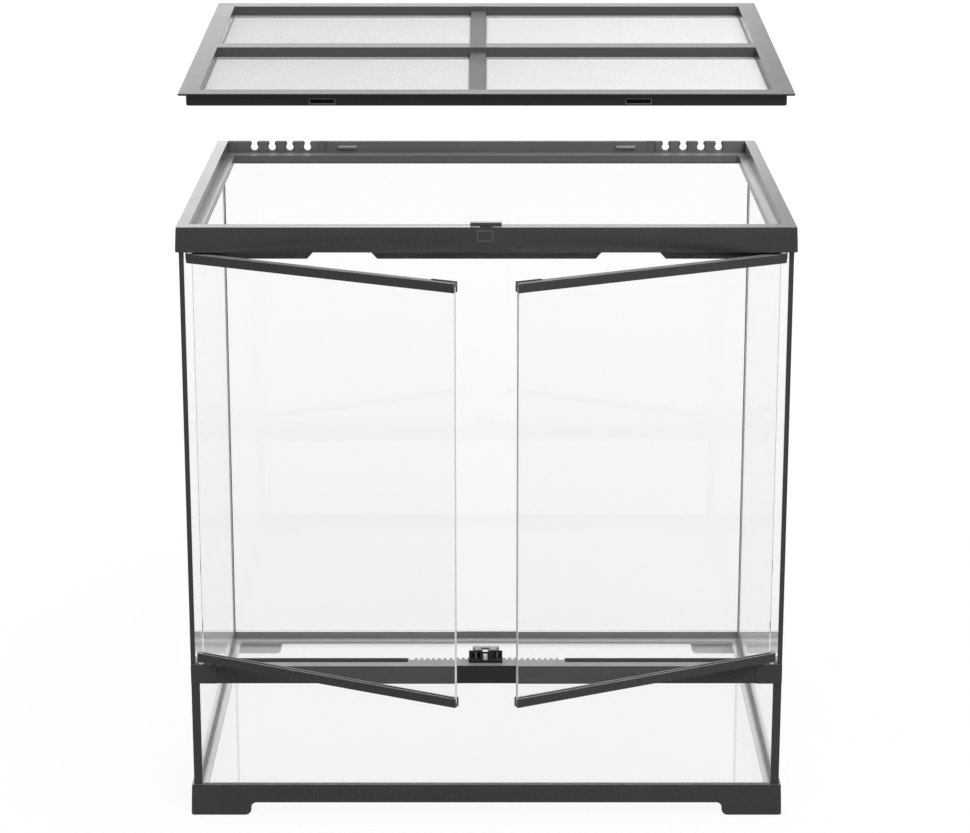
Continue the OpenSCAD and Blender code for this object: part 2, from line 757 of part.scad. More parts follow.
// A flanged bush, its flange on top and its bore open upwards, with the flange's face at 0.
module bush(flange_t) {
    difference() {
        union() {
            translate([0, 0, -flange_t]) cylinder(r = bush_flange_r, h = flange_t);
            translate([0, 0, -flange_t - bush_depth]) cylinder(r = bush_r, h = bush_depth + flange_t / 2);
        }
        translate([0, 0, -flange_t - pin_reach]) cylinder(r = pin_r + pin_run, h = bush_depth * 2);
    }
}

module lower_hinge_bushes() {
    color(steel) for (s = [LEFT, RIGHT])
        translate([s * pivot_x, pivot_y, block_top + bush_flange_t]) bush(bush_flange_t);
}

module upper_hinge_bushes() {
    color(steel) for (s = [LEFT, RIGHT])
        translate([s * pivot_x, pivot_y, top_z - head_flange_t]) mirror([0, 0, 1]) bush(head_flange_t);
}

// ---------------------------------------------------------------- latch

module latch_housing() {
    color(dark_plastic) difference() {
        block([latch_x0, latch_y, rail_top], [latch_x1, latch_y + latch_d, tower_top]);
        // shoulders beside the cap plate
        for (x = [latch_x0 - eps, latch_x1 - cap_right])
            block([x, latch_y + cap_front, tower_top - shoulder_drop],
                [x + (x < 0 ? cap_left : cap_right) + eps, latch_y + latch_d + eps, tower_top + eps]);
        block([latch_slot_x0, latch_y - eps, rail_top + bridge_h],
            [latch_slot_x1, latch_y + latch_d - lug_t, tower_top + eps]);
        block([latch_slot_x0, latch_y - eps, rail_top + lever_h - lug_drop],
            [latch_slot_x1, latch_y + latch_d + eps, tower_top + eps]);
        for (x = bay_xs) {
            block([x - bay_half, latch_y - eps, rail_top + bay_floor],
                [x + bay_half, latch_y + latch_d - bay_rear_t, tower_top - bay_roof]);
            translate([x, roller_y, pin_foot])
                cylinder(r = roller_pin_r + push_fit, h = latch_h);
        }
    }
}

module latch_cap() {
    color(steel) block([latch_x0 + cap_left, latch_y + cap_front, tower_top],
        [latch_x1 - cap_right, latch_y + latch_d, tower_top + latch_cap_t]);
}

module latch_roller_pins() {
    color(steel) for (x = bay_xs)
        translate([x, roller_y, pin_foot]) cylinder(r = roller_pin_r, h = tower_top - pin_foot);
}

module latch_roller(x) {
    z0 = rail_top + bay_floor + run_gap;
    color(steel) translate([x, roller_y, z0]) difference() {
        cylinder(r = roller_r, h = tower_top - bay_roof - run_gap - z0);
        translate([0, 0, -eps]) cylinder(r = roller_pin_r + roller_run, h = latch_h);
    }
}

module latch_lever() {
    color(steel) block([latch_slot_x0 + run_gap, lever_y, rail_top + bridge_h + run_gap],
        [latch_slot_x1 - run_gap, lever_y + lever_d, rail_top + lever_h]);
}

// Point k of ring i of the spring's wire, wound round Y from y = 0 to y = len.
function spring_point(i, k, len) =
    let (a = 360 * i / spring_steps, b = 360 * k / spring_sides, w = spring_wire / 2,
        r = spring_r - w + w * cos(b))
    [r * cos(a), w + (len - 2 * w) * i / (spring_turns * spring_steps) + w * sin(b), r * sin(a)];

// Coil spring between the lever and the lug behind it.
module latch_spring() {
    len = spring_room - 2 * spring_play;
    rings = spring_turns * spring_steps;
    n = spring_sides;
    points = [for (i = [0 : rings], k = [0 : n - 1]) spring_point(i, k, len)];
    walls = [for (i = [0 : rings - 1], k = [0 : n - 1])
        [i * n + k, i * n + (k + 1) % n, (i + 1) * n + (k + 1) % n, (i + 1) * n + k]];
    color(steel)
        translate([(latch_slot_x0 + latch_slot_x1) / 2, lever_y + lever_d + spring_play,
            rail_top + (bridge_h + lever_h) / 2])
        polyhedron(points, concat([[for (k = [0 : n - 1]) n - 1 - k]], walls,
            [[for (k = [0 : n - 1]) rings * n + k]]), convexity = 6);
}

// ---------------------------------------------------------------- doors

// Places a door drawn from its hinge axis along +X, on the side s, as far open as it is stored.
module door_place(s) {
    if (s < 0) translate([-pivot_x, pivot_y, 0]) rotate([0, 0, -door_open]) children();
    else mirror([1, 0, 0]) translate([-pivot_x, pivot_y, 0]) rotate([0, 0, -door_open]) children();
}

// A rail with a rounded hinge end, from z0 to z1.
module rail_form(z0, z1) {
    translate([0, 0, z0]) cylinder(r = door_t / 2, h = z1 - z0);
    block([0, -door_t / 2, z0], [door_len, door_t / 2, z1]);
}

module door_glass(s) {
    color(clear_glass) door_place(s)
        block([glass_x0, -door_glass_t / 2, door_z0 + door_web],
            [door_len - door_glass_end, door_glass_t / 2, door_z1 - door_web]);
}

module door_bottom_rail(s) {
    color(plastic) door_place(s) difference() {
        rail_form(door_z0, door_z0 + door_rail_h);
        block([glass_x0, -door_glass_t / 2, door_z0 + door_web],
            [door_len + eps, door_glass_t / 2, door_z0 + door_rail_h + eps]);
        translate([0, 0, door_z0 - eps]) cylinder(r = pin_r + push_fit, h = door_web + eps);
    }
}

module door_top_rail(s) {
    color(plastic) door_place(s) difference() {
        rail_form(door_z1 - door_rail_h, door_z1);
        block([glass_x0, -door_glass_t / 2, door_z1 - door_rail_h - eps],
            [door_len + eps, door_glass_t / 2, door_z1 - door_web]);
        translate([0, 0, door_z1 - door_web]) cylinder(r = pin_r + push_fit, h = door_web + eps);
    }
}

module door_bottom_pin(s) {
    z0 = block_top - pin_reach + run_gap;
    color(steel) door_place(s) translate([0, 0, z0])
        cylinder(r = pin_r, h = door_z0 + door_web - z0);
}

module door_top_pin(s) {
    z1 = top_z + pin_reach - run_gap;
    color(steel) door_place(s) translate([0, 0, door_z1 - door_web])
        cylinder(r = pin_r, h = z1 - door_z1 + door_web);
}

// Enters the latch bay when the door is shut.
module door_strike(s) {
    color(steel) door_place(s)
        block([strike_x, door_t / 2, door_z0 + strike_lift],
            [strike_x + strike_w, door_t / 2 + strike_reach, door_z0 + strike_lift + strike_h]);
}

module door_bumper(s) {
    color(dark_plastic) door_place(s)
        block([door_len - bumper_len, bumper_y, door_z1], [door_len, door_t / 2, door_z1 + bumper_h]);
}

// ---------------------------------------------------------------- lid

// Lifts and tilts what is drawn where the lid seats, round the lid's far axis.
module lid_place() {
    translate([0, swing_y, flange_z1]) rotate([lid_tilt, 0, 0])
        translate([0, -swing_y, -flange_z1]) children();
}

// The four windows: [x0, y0, x1, y1] by column and row.
bar_left = centre_bar_x - centre_bar / 2;
bar_right = centre_bar_x + centre_bar / 2;
columns = [[-window_x, bar_left], [bar_right, window_x]];
rows = [[window_y0, bar_y - cross_bar / 2], [bar_y + cross_bar / 2, window_y1]];

// A block over one window, grown by g on every side.
module window_block(c, r, g, z0, z1) {
    block([columns[c][0] - g, rows[r][0] - g, z0], [columns[c][1] + g, rows[r][1] + g, z1]);
}

module lid_frame() {
    slot_z = flange_z1 - lid_slot_drop;
    slot_xs = [lid_slot_left, lid_slot_right];
    bar_z = flange_z1 - centre_bar_drop;
    color(dark_plastic) lid_place() difference() {
        union() {
            round_plate(-lid_w / 2, lid_y0, lid_w / 2, lid_y1, flange_z0, flange_z1, flange_corner_r);
            difference() {
                round_plate(-skirt_x, skirt_y0, skirt_x, skirt_y1, skirt_z0, flange_z0 + eps,
                    lid_corner_r);
                block([-skirt_x + lid_wall, skirt_y0 + lid_wall, skirt_z0 - eps],
                    [skirt_x - lid_wall, skirt_y1 - lid_wall, flange_z0]);
            }
            for (c = [0, 1], r = [0, 1]) window_block(c, r, lid_wall, screen_z1, flange_z0 + eps);
            // centre bar, with a wall at each end
            for (row = rows) block([bar_left, row[0] - lid_wall, bar_z - flange_t],
                [bar_right, row[1] + lid_wall, flange_z0 + eps]);
            // walls behind the slots
            for (x = slot_xs) block([x - lid_slot_len / 2 - lid_slot_back, skirt_y0 + eps, skirt_z0],
                [x + lid_slot_len / 2 + lid_slot_back, skirt_y0 + lid_wall + lid_slot_back,
                    flange_z0 + eps]);
        }
        for (c = [0, 1], r = [0, 1]) window_block(c, r, 0, screen_z1 - eps, flange_z1 + eps);
        for (row = rows) block([bar_left - eps, row[0], bar_z], [bar_right + eps, row[1], flange_z1 + eps]);
        for (x = slot_xs) block([x - lid_slot_len / 2, skirt_y0 - eps, slot_z],
            [x + lid_slot_len / 2, skirt_y0 + lid_wall, slot_z + lid_slot_h]);
        for (s = [LEFT, RIGHT])
            block([s * hook_x - hook_w / 2 - hook_clear, skirt_y1 - lid_wall - eps, skirt_z0 - eps],
                [s * hook_x + hook_w / 2 + hook_clear, skirt_y1 + eps, body_h - hook_drop + hook_clear]);
    }
}

// A plate with a plain grid of openings over its window.
module lid_screen(c, r) {
    x0 = columns[c][0];
    y0 = rows[r][0];
    step_x = (columns[c][1] - x0) / screen_cells_x;
    step_y = (rows[r][1] - y0) / screen_cells_y;
    color(mesh_grey) lid_place() difference() {
        window_block(c, r, lid_wall - screen_inset, screen_z1 - screen_t, screen_z1);
        for (i = [0:screen_cells_x - 1], j = [0:screen_cells_y - 1])
            translate([x0 + i * step_x, y0 + j * step_y, 0])
                block([screen_bar / 2, screen_bar / 2, screen_z1 - screen_t - eps],
                    [step_x - screen_bar / 2, step_y - screen_bar / 2, screen_z1 + eps]);
    }
}

// Strips under the edges of the four screens.
module lid_screen_clips() {
    color(dark_plastic) lid_place() for (c = [0, 1], r = [0, 1]) difference() {
        window_block(c, r, clip_w - screen_inset, screen_z1 - screen_t - clip_t, screen_z1 - screen_t);
        window_block(c, r, 0, screen_z1 - screen_t - clip_t - eps, screen_z1);
    }
}

// ---------------------------------------------------------------- nodes

stand() base_frame();
stand() floor_glass();
stand() side_glass(LEFT);  // left_side_glass
stand() side_glass(RIGHT);  // right_side_glass
stand() back_glass();
stand() front_lower_glass();
stand() silicone_seals();
stand() edge_trim(LEFT);  // left_edge_trim
stand() edge_trim(RIGHT);  // right_edge_trim
stand() top_frame();
stand() vent_rail();
stand() vent_comb();
stand() vent_mesh();
stand() hinge_block(LEFT);  // left_hinge_block
stand() hinge_block(RIGHT);  // right_hinge_block
stand() lower_hinge_bushes();
stand() upper_hinge_bushes();
stand() latch_housing();
stand() latch_cap();
stand() latch_roller_pins();
stand() latch_roller(bay_xs[0]);  // left_latch_roller
stand() latch_roller(bay_xs[1]);  // right_latch_roller
stand() latch_lever();
stand() latch_spring();
stand() door_glass(LEFT);  // left_door_glass
stand() door_top_rail(LEFT);  // left_door_top_rail
stand() door_bottom_rail(LEFT);  // left_door_bottom_rail
stand() door_top_pin(LEFT);  // left_door_top_pin
stand() door_bottom_pin(LEFT);  // left_door_bottom_pin
stand() door_strike(LEFT);  // left_door_strike
stand() door_bumper(LEFT);  // left_door_bumper
stand() door_glass(RIGHT);  // right_door_glass
stand() door_top_rail(RIGHT);  // right_door_top_rail
stand() door_bottom_rail(RIGHT);  // right_door_bottom_rail
stand() door_top_pin(RIGHT);  // right_door_top_pin
stand() door_bottom_pin(RIGHT);  // right_door_bottom_pin
stand() door_strike(RIGHT);  // right_door_strike
stand() door_bumper(RIGHT);  // right_door_bumper
stand() lid_frame();
stand() lid_screen(0, 0);  // lid_screen_front_left
stand() lid_screen(1, 0);  // lid_screen_front_right
stand() lid_screen(0, 1);  // lid_screen_rear_left
stand() lid_screen(1, 1);  // lid_screen_rear_right
stand() lid_screen_clips();
stand() inlet_shutter(LEFT);  // left_inlet_shutter
stand() inlet_shutter(RIGHT);  // right_inlet_shutter
stand() lid_lock();
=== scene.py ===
"""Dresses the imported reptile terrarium: rounded mouldings, ground glass panes, silicone beads,
woven lid screens, latch and hinge metalwork, their finishes, and a pale studio."""
import functools
import json
import math

import bmesh
import bpy
import numpy as np
from bpy.props import FloatProperty, FloatVectorProperty, PointerProperty
from mathutils import Matrix, Vector


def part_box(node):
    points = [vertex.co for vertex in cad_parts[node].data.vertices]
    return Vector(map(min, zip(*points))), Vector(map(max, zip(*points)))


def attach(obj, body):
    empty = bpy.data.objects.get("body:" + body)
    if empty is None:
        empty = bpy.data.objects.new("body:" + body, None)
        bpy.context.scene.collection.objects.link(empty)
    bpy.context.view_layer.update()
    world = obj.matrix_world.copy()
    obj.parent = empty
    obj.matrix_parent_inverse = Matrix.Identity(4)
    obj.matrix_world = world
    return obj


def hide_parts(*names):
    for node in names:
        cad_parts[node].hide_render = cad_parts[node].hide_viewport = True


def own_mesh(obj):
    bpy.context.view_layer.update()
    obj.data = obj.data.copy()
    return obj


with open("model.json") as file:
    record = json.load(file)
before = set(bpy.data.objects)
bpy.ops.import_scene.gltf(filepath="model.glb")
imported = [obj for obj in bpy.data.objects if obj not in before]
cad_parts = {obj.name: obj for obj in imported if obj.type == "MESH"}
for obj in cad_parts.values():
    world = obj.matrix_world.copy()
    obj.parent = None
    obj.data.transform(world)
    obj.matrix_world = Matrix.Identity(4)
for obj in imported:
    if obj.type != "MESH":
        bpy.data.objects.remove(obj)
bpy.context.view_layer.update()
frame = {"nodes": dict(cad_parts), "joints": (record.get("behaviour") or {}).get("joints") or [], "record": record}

bl_info = {
    "name": "Reptile terrarium dresser",
    "version": (1, 0, 0),
    "blender": (4, 5, 0),
    "location": "3D Viewport > Sidebar > Terrarium",
    "description": "Builds a front-opening terrarium's glass, mouldings, screens and metalwork",
    "category": "Object",
}

SLOT_OF = {part["node"]: part["material_slot"] for part in frame["record"]["subparts"]}
BODY_OF = {node: body for body, members in frame["record"]["behaviour"]["bodies"].items()
           for node in members}
JOINT = {joint["name"]: joint for joint in frame["joints"]}

# The joint of each body that shuts, and the end of its range at which it is shut or seated.
SHUT_END = {"left_door": ("left_door_hinge", 1), "right_door": ("right_door_hinge", 0),
            "lid": ("lid_lift", 0)}

# Rounding of each moulded or metal part's edges, as a share of the edge_round setting.
ROUNDED = {
    "base_frame": 1.3, "top_frame": 1.0, "vent_rail": 0.9, "vent_comb": 0.6,
    "left_hinge_block": 1.0, "right_hinge_block": 1.0, "left_edge_trim": 0.8,
    "right_edge_trim": 0.8, "lower_hinge_bushes": 0.4, "upper_hinge_bushes": 0.4,
    "latch_housing": 0.5, "latch_cap": 0.4, "latch_lever": 0.8, "latch_roller_pins": 0.3,
    "left_latch_roller": 0.5, "right_latch_roller": 0.5, "lid_frame": 0.9,
    "lid_screen_clips": 0.4, "lid_lock": 0.8, "left_inlet_shutter": 0.4,
    "right_inlet_shutter": 0.4,
    **{f"{hand}_door_{part}": share for hand in ("left", "right")
       for part, share in (("top_rail", 1.0), ("bottom_rail", 1.0), ("strike", 0.6),
                           ("bumper", 0.5), ("top_pin", 0.3), ("bottom_pin", 0.3))},
}
# Angles past which the edges of mouldings, of lips and pads, and of silicone stay sharp, the
# angle up to which a moulding's faces are one, and the distance up to which its points are one.
MOULDING_ANGLE, LIP_ANGLE, BEAD_ANGLE, FLAT = (math.radians(angle) for angle in (32, 40, 50, 0.5))
MERGE = 2e-6

# The panes, and the finish of each.
PANES = {
    "floor_glass": "floor_glass", "left_side_glass": "side_glass",
    "right_side_glass": "side_glass", "back_glass": "back_glass",
    "front_lower_glass": "tank_glass", "left_door_glass": "tank_glass",
    "right_door_glass": "tank_glass",
}
PANE_CORNER = 0.0015
# Steps round each corner of a pane or pad. The outline begins at its upper right corner, and the
# straight run on a door pane's hinge side starts at the point that HINGE_EDGE gives.
CORNER_STEPS = 4
HINGE_EDGE = {"left_door_glass": 2 * CORNER_STEPS + 1, "right_door_glass": 4 * CORNER_STEPS + 3}

BEAD_STEP, BEAD_STEPS = 0.012, 6  # a step along a silicone bead, and the fewest steps of one
BEAD_SAMPLES = 7  # points across the bow in its face
BEAD_WAVER = 0.10  # how far a bead's leg wavers, as a share of it
BEAD_SPREAD = 9  # profiles over which one swing is spread
BEAD_BOW = 0.62  # radius of the bow in a bead's face, as a share of its leg
REAR_LEG = 0.6  # leg of the beads up the rear corners, as a share of the others'

SCREENS = ("lid_screen_front_left", "lid_screen_front_right", "lid_screen_rear_left",
           "lid_screen_rear_right")
SCREEN_GAP = 0.0001  # from a screen's weave to the edge of its seat
SCREEN_DROP = 1.2  # how far the weave's middle lies below the screen's top, in wires
SPLINE_PLACE = (0.0021, 0.0001)  # a spline's middle, in from its screen's edge and above its top
SPLINE_RADIUS = 0.0006

SKIRT_INSET = 0.006  # the lid skirt's face, back from the flange's edge
LID_SLOTS = {"left": -0.160, "right": 0.148}  # middles of the slots in that face, along X
SLOT_DROP = 0.0109  # a slot's lower edge, below the lid's top
SLOT_HALF, SLOT_H = 0.012, 0.0042  # half the width of a slot, and its height
SLOT_LIP = 0.0004  # radius of the lip round a slot
# A slot's pad is a dark sheet of painted shade in the slot's hollow.
SLOT_PAD_DEPTH = (0.0008, 0.0020)  # front and rear of a slot's pad, behind that face

DRAFT = 0.0015  # how far the frames' faces lean out from their upper to their lower edge
PAD_SIDES, PAD_ENDS = (-0.0087, 0.0063), (0.6098, 0.6202)  # of the top frame's bare pad
PAD_LIP, PAD_LIP_PLACE = (0.0003, 0.00018), (0.0001, 0.0)  # radii of the lip round it, and place
PAD_DEPTH = 0.0002  # of the pad's face, behind the frame's foremost edge
HOOK_X, HOOK_DROP = 0.158, 0.005  # the hook tabs' middles, and their tops below the rim
HOOK_WALL = 0.4535  # the wall they stand on, behind the foremost edge
# The strip is pale as a painted highlight along the tab's top.
STRIP_HALF = 0.0105  # half the width of the strip behind a tab
STRIP_DEPTH = (0.0027, 0.0001)  # its front and rear, in front of that wall
STRIP_LEVELS = (-0.0016, 0.0003)  # its underside and top, above the tab's top
STRIP_ROUND = 0.00015

# Dark pads of painted shade on the latch's cap, where it shows a shadowed slit and dark spots.
LATCH_PADS = {"left": (-0.0140, -0.0117), "middle": (-0.0056, 0.0034), "right": (0.0102, 0.0130)}
LATCH_PAD_DEPTH = (0.0012, 0.0040)  # front and rear of a pad, behind the cap's front
LATCH_PAD_LEVELS = (-0.0001, 0.0003)  # its underside and top, above the cap's top
LATCH_PAD_ROUND = 0.00006

# Masks for the inside of the lid's recess, for the rear ledge and for the well of the base: in
# from the frame's sides, back from its front, and the skin left on its rear. Inside the recess
# and the well the faces are painted paler as painted light; the rear ledge is only made matt.
RECESS_SIDE, RECESS_FRONT, RECESS_BACK = 0.0128, 0.0162, 0.457
REAR_SIDE, REAR_FRONT, REAR_SKIN = 0.013, 0.436, 0.0005
WELL_SKIN, WELL_FRONT, WELL_DROP = 0.0022, 0.0125, 0.001
BAR_HALF, PANEL_HALF = 0.0084, 0.0316  # half widths of the lid's bar and of the rail's middle panel, painted darker as shade
MASK_SLOPE = 3000.0  # how fast a mask fades in, per metre
FAR = 1.0  # a bound past every face of the terrarium

SIDE_SHADE, BACK_SHADE = 0.016, 0.045  # painted shade: how much darker the side and rear panes are made than the same float glass
# The colour of dust, also painted on faces inside a frame as painted light, and the pale colour painted on the
# base's shelf as painted light.
SETTLED, BEDDING = (0.42, 0.42, 0.42, 1.0), (0.8, 0.8, 0.8, 1.0)
WHITE = (1.0, 1.0, 1.0, 1.0)
CAMERA_SHIFT = (-0.0015, -0.0412)


# ---------- frames of reference

def shut_to_rest(body):
    """The turn that takes a body from shut or seated to where it is at rest: a rotation about
    its joint's axis, through the joint's place, by minus the value at which it is shut."""
    if body not in SHUT_END:
        return Matrix.Identity(4)
    name, end = SHUT_END[body]
    joint = JOINT[name]
    angle = -math.radians(joint["range_deg"][end])
    place = Matrix.Translation(joint["pos_m"])
    return place @ Matrix.Rotation(angle, 4, Vector(joint["axis"])) @ place.inverted()


def moved(points, turn):
    """Points carried by a 4 x 4 matrix: turned by its upper left part, then shifted by its last
    column."""
    turn = np.array(turn)
    return points @ turn[:3, :3].T + turn[:3, 3]


def shut_box(node):
    """Lowest and highest corner of a CAD node with its body shut or seated, as arrays."""
    points = np.array([vertex.co for vertex in frame["nodes"][node].data.vertices])
    points = moved(points, shut_to_rest(BODY_OF[node]).inverted())
    return points.min(0), points.max(0)


def placed(name, data):
    """A new object in the scene, with its data."""
    thing = bpy.data.objects.new(name, data)
    bpy.context.scene.collection.objects.link(thing)
    return thing


def stand_in(mesh, finishes, node=None, body="enclosure"):
    """Places a mesh under its own name, gives it its finishes, and lets it ride on its body. A mesh
    that stands for a CAD node takes its body from it, and hides the node."""
    piece = placed(mesh.name, mesh)
    for finish in finishes:
        mesh.materials.append(FINISHES[finish])
    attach(piece, BODY_OF[node] if node else body)
    if node:
        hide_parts(node)
    return piece


# ---------- surfaces

def grid_faces(rows, columns, wrap_rows=False, wrap_columns=False):
    """Quads between the points of a grid numbered row by row: face (i, j) joins points (i, j),
    (i + 1, j), (i + 1, j + 1) and (i, j + 1), with either index wrapping round if asked."""
    i = np.arange(rows if wrap_rows else rows - 1)[:, None]
    j = np.arange(columns if wrap_columns else columns - 1)
    below, right = (i + 1) % rows, (j + 1) % columns
    return np.stack([i * columns + j, below * columns + j, below * columns + right,
                     i * columns + right], -1).reshape(-1, 4)


def mesh_from(name, points, quads, caps=(), body="enclosure", smooth=True, marks=None):
    """A mesh of quads and many-sided caps, with marks as its material indices. Its points are
    drawn with the body shut, and taken to where they are at rest."""
    mesh = bpy.data.meshes.new(name)
    points = moved(points.reshape(-1, 3), shut_to_rest(body))
    mesh.from_pydata(points.tolist(), [], quads.tolist() + [list(cap) for cap in caps])
    mesh.polygons.foreach_set("use_smooth", np.full(len(mesh.polygons), smooth))
    if marks is not None:
        mesh.polygons.foreach_set("material_index", np.asarray(marks, np.int32))
    mesh.update()
    return mesh


def round_corners(half_u, half_v, radius):
    """A rectangle's outline with round corners: each corner is a quarter circle of the given
    radius, sampled at CORNER_STEPS + 1 angles, centred a radius in from both sides."""
    angle = np.arange(4)[:, None] * math.pi / 2 + np.linspace(0, math.pi / 2, CORNER_STEPS + 1)
    u = np.array([[1], [-1], [-1], [1]]) * (half_u - radius) + radius * np.cos(angle)
    v = np.array([[1], [1], [-1], [-1]]) * (half_v - radius) + radius * np.sin(angle)
    return np.stack([u.ravel(), v.ravel()], -1)


def smooth_copy(node, name):
    """A copy of a CAD node with its loose triangles merged and its flat faces joined, smooth
    but for its sharp edges."""
    mesh = bpy.data.meshes.new(name)
    work = bmesh.new()
    work.from_mesh(frame["nodes"][node].data)
    bmesh.ops.remove_doubles(work, verts=work.verts, dist=MERGE)
    bmesh.ops.dissolve_limit(work, angle_limit=FLAT, verts=work.verts, edges=work.edges)
    work.to_mesh(mesh)
    work.free()
    mesh.shade_smooth()
    mesh.set_sharp_from_angle(angle=MOULDING_ANGLE)
    return stand_in(mesh, [finish_for(node)], node)


def rounded_copy(node, rounding):
    """Makes a smooth copy of a CAD node, and rounds its edges by a bevel of the given width."""
    piece = smooth_copy(node, f"{node}_moulding")
    bevel = piece.modifiers.new("rounded edges", "BEVEL")
    bevel.width = rounding
    bevel.segments = 2
    bevel.limit_method = "ANGLE"
    bevel.angle_limit = MOULDING_ANGLE
    bevel.harden_normals = True


def face_out(mesh, sharp=0.0):
    """Turns every face of a closed mesh outwards, and marks its edges past an angle as sharp."""
    work = bmesh.new()
    work.from_mesh(mesh)
    bmesh.ops.recalc_face_normals(work, faces=work.faces)
    work.to_mesh(mesh)
    work.free()
    if sharp:
        mesh.set_sharp_from_angle(angle=sharp)
    return mesh


def end_caps(rows, columns, start=0):
    """The two many-sided faces that close a tube numbered row by row: its first ring, and its
    last one the other way round."""
    last = start + (rows - 1) * columns
    return [range(start, start + columns), range(last + columns - 1, last - 1, -1)]


def slab_mesh(name, low, high, thin, levels, body, sharp=0.0, marks=None):
    """A slab: a round-cornered rectangle carried along the thin axis through its levels. A level
    is a place on that axis, how far the outline is drawn in there, and its corners' radius."""
    across = [axis for axis in range(3) if axis != thin]
    middle, half = ((low + high) / 2)[across], ((high - low) / 2)[across]
    rings = np.empty((len(levels), 4 * (CORNER_STEPS + 1), 3))
    for ring, (level, inset, radius) in zip(rings, levels):
        ring[:, across] = middle + round_corners(*(half - inset), radius)
        ring[:, thin] = level
    rows, columns = rings.shape[:2]
    mesh = mesh_from(name, rings, grid_faces(rows, columns, wrap_columns=True),
                     end_caps(rows, columns), body, bool(sharp), marks)
    return face_out(mesh, sharp)


def pane_mesh(node, arris, clearance, polished=None):
    """A glass pane: a slab drawn in by the clearance on every side, and once more by the arris
    at its outer levels, which gives every edge a ground chamfer. The run of the edge that starts
    at the polished point, if any, is left clear."""
    low, high = shut_box(node)
    low, high = low + clearance, high - clearance
    thin = int(np.argmin(high - low))
    levels = [(low[thin], arris, PANE_CORNER - arris), (low[thin] + arris, 0, PANE_CORNER),
              (high[thin] - arris, 0, PANE_CORNER), (high[thin], arris, PANE_CORNER - arris)]
    ground = np.ones((len(levels) - 1, 4 * (CORNER_STEPS + 1)))
    if polished is not None:
        ground[:, polished] = 0
    return slab_mesh(f"{node}_pane", low, high, thin, levels, BODY_OF[node],
                     marks=np.append(ground, (0, 0)))


def pad_mesh(name, low, high, radius=0.0002, body="enclosure"):
    """A small block that faces forwards: a slab whose first two levels are drawn in, so that its
    front edges are rounded by the radius, and its corners by half as much again."""
    levels = ((low[1], radius), (low[1] + radius * 0.3, radius * 0.3), (low[1] + radius, 0),
              (high[1], 0))
    levels = [(level, inset, radius * 1.5) for level, inset in levels]
    return slab_mesh(name, np.array(low), np.array(high), 1, levels, body, LIP_ANGLE)


def bead_run(run, leg, rng):
    """A concave bead of silicone: a profile carried along a run, which is its start, its end and
    the directions along both panes. The profile joins the corner to a quarter circle centred a
    leg out from both panes, so its face bows towards the corner. The leg wavers on the way, by a
    moving average of random numbers."""
    start, end, side_a, side_b = np.array(run, float)
    steps = max(BEAD_STEPS, int(np.linalg.norm(end - start) / BEAD_STEP))
    along = np.linspace(0, 1, steps + 1)
    window = np.ones(BEAD_SPREAD) / BEAD_SPREAD
    waver = np.convolve(rng.normal(0, 1, steps + BEAD_SPREAD), window, "valid")
    size = leg * (1 + BEAD_WAVER * waver)
    angle = np.linspace(0, math.pi / 2, BEAD_SAMPLES)
    bow_a = np.concatenate([[0], 1 - BEAD_BOW * np.sin(angle)])
    bow_b = np.concatenate([[0], 1 - BEAD_BOW * np.cos(angle)])
    profile = bow_a[:, None] * side_a + bow_b[:, None] * side_b
    centre = start + along[:, None] * (end - start)
    return centre[:, None] + size[:, None, None] * profile


def woven_mesh(name, fields, height, pitch, wire, body):
    """Plain-woven wire cloth over each field, from its low corner to its high one. Each wire is
    a four-sided tube with one ring at every crossing; its height there is plus or minus half the
    wire's thickness by turns, so that it passes over one wire and under the next."""
    radius = wire / 2
    ring = np.arange(4) * math.pi / 2 + math.pi / 4
    parts, quads, start = [], [], 0
    for low, high in fields:
        count = np.maximum(2, np.round((high - low) / pitch).astype(int))
        lanes = [low[axis] + (np.arange(count[axis]) + 0.5) * (high[axis] - low[axis]) / count[axis]
                 for axis in (0, 1)]
        for axis, other in ((0, 1), (1, 0)):
            wires, crossings = count[other], count[axis]
            parity = (np.arange(wires)[:, None] + np.arange(crossings) + axis) % 2
            lift = np.pad((1 - 2 * parity) * radius, ((0, 0), (1, 1)))
            tube = np.empty((wires, crossings + 2, 4, 3))
            tube[..., axis] = np.array([low[axis], *lanes[axis], high[axis]])[:, None]
            tube[..., other] = lanes[other][:, None, None] + radius * np.cos(ring)
            tube[..., 2] = height + lift[..., None] + radius * np.sin(ring)
            one = np.concatenate([grid_faces(crossings + 2, 4, wrap_columns=True),
                                  [list(cap) for cap in end_caps(crossings + 2, 4)]])
            if axis == 1:
                one = one[:, ::-1]
            size = 4 * (crossings + 2)
            first = start + np.arange(wires)[:, None, None] * size
            quads.append((first + one).reshape(-1, 4))
            parts.append(tube.reshape(-1, 3))
            start += wires * size
    return mesh_from(name, np.concatenate(parts), np.concatenate(quads), body=body)


def loop_mesh(name, low, high, height, profile, body, upright=False):
    """A profile carried round the four sides of a rectangle with mitred corners. A profile
    point (u, w) lies u inwards of the rectangle's side and w above the given height. Upright,
    the rectangle stands in X and Z, and w is measured forwards of the Y given as height."""
    u, w = profile.T
    x = np.where([[1], [0], [0], [1]], low[0] + u, high[0] - u)
    y = np.where([[1], [1], [0], [0]], low[1] + u, high[1] - u)
    level = np.broadcast_to(height - w if upright else height + w, x.shape)
    points = np.stack([x, level, y] if upright else [x, y, level], -1)
    quads = grid_faces(4, len(profile), wrap_rows=True, wrap_columns=True)
    return face_out(mesh_from(name, points, quads, body=body), LIP_ANGLE)


def cord_profile():
    """A circle of radius 1 in eight steps, for a profile to be carried round a loop."""
    angle = np.linspace(0, 2 * math.pi, 8, endpoint=False)
    return np.stack([np.cos(angle), np.sin(angle)], -1)


# ---------- shader node groups

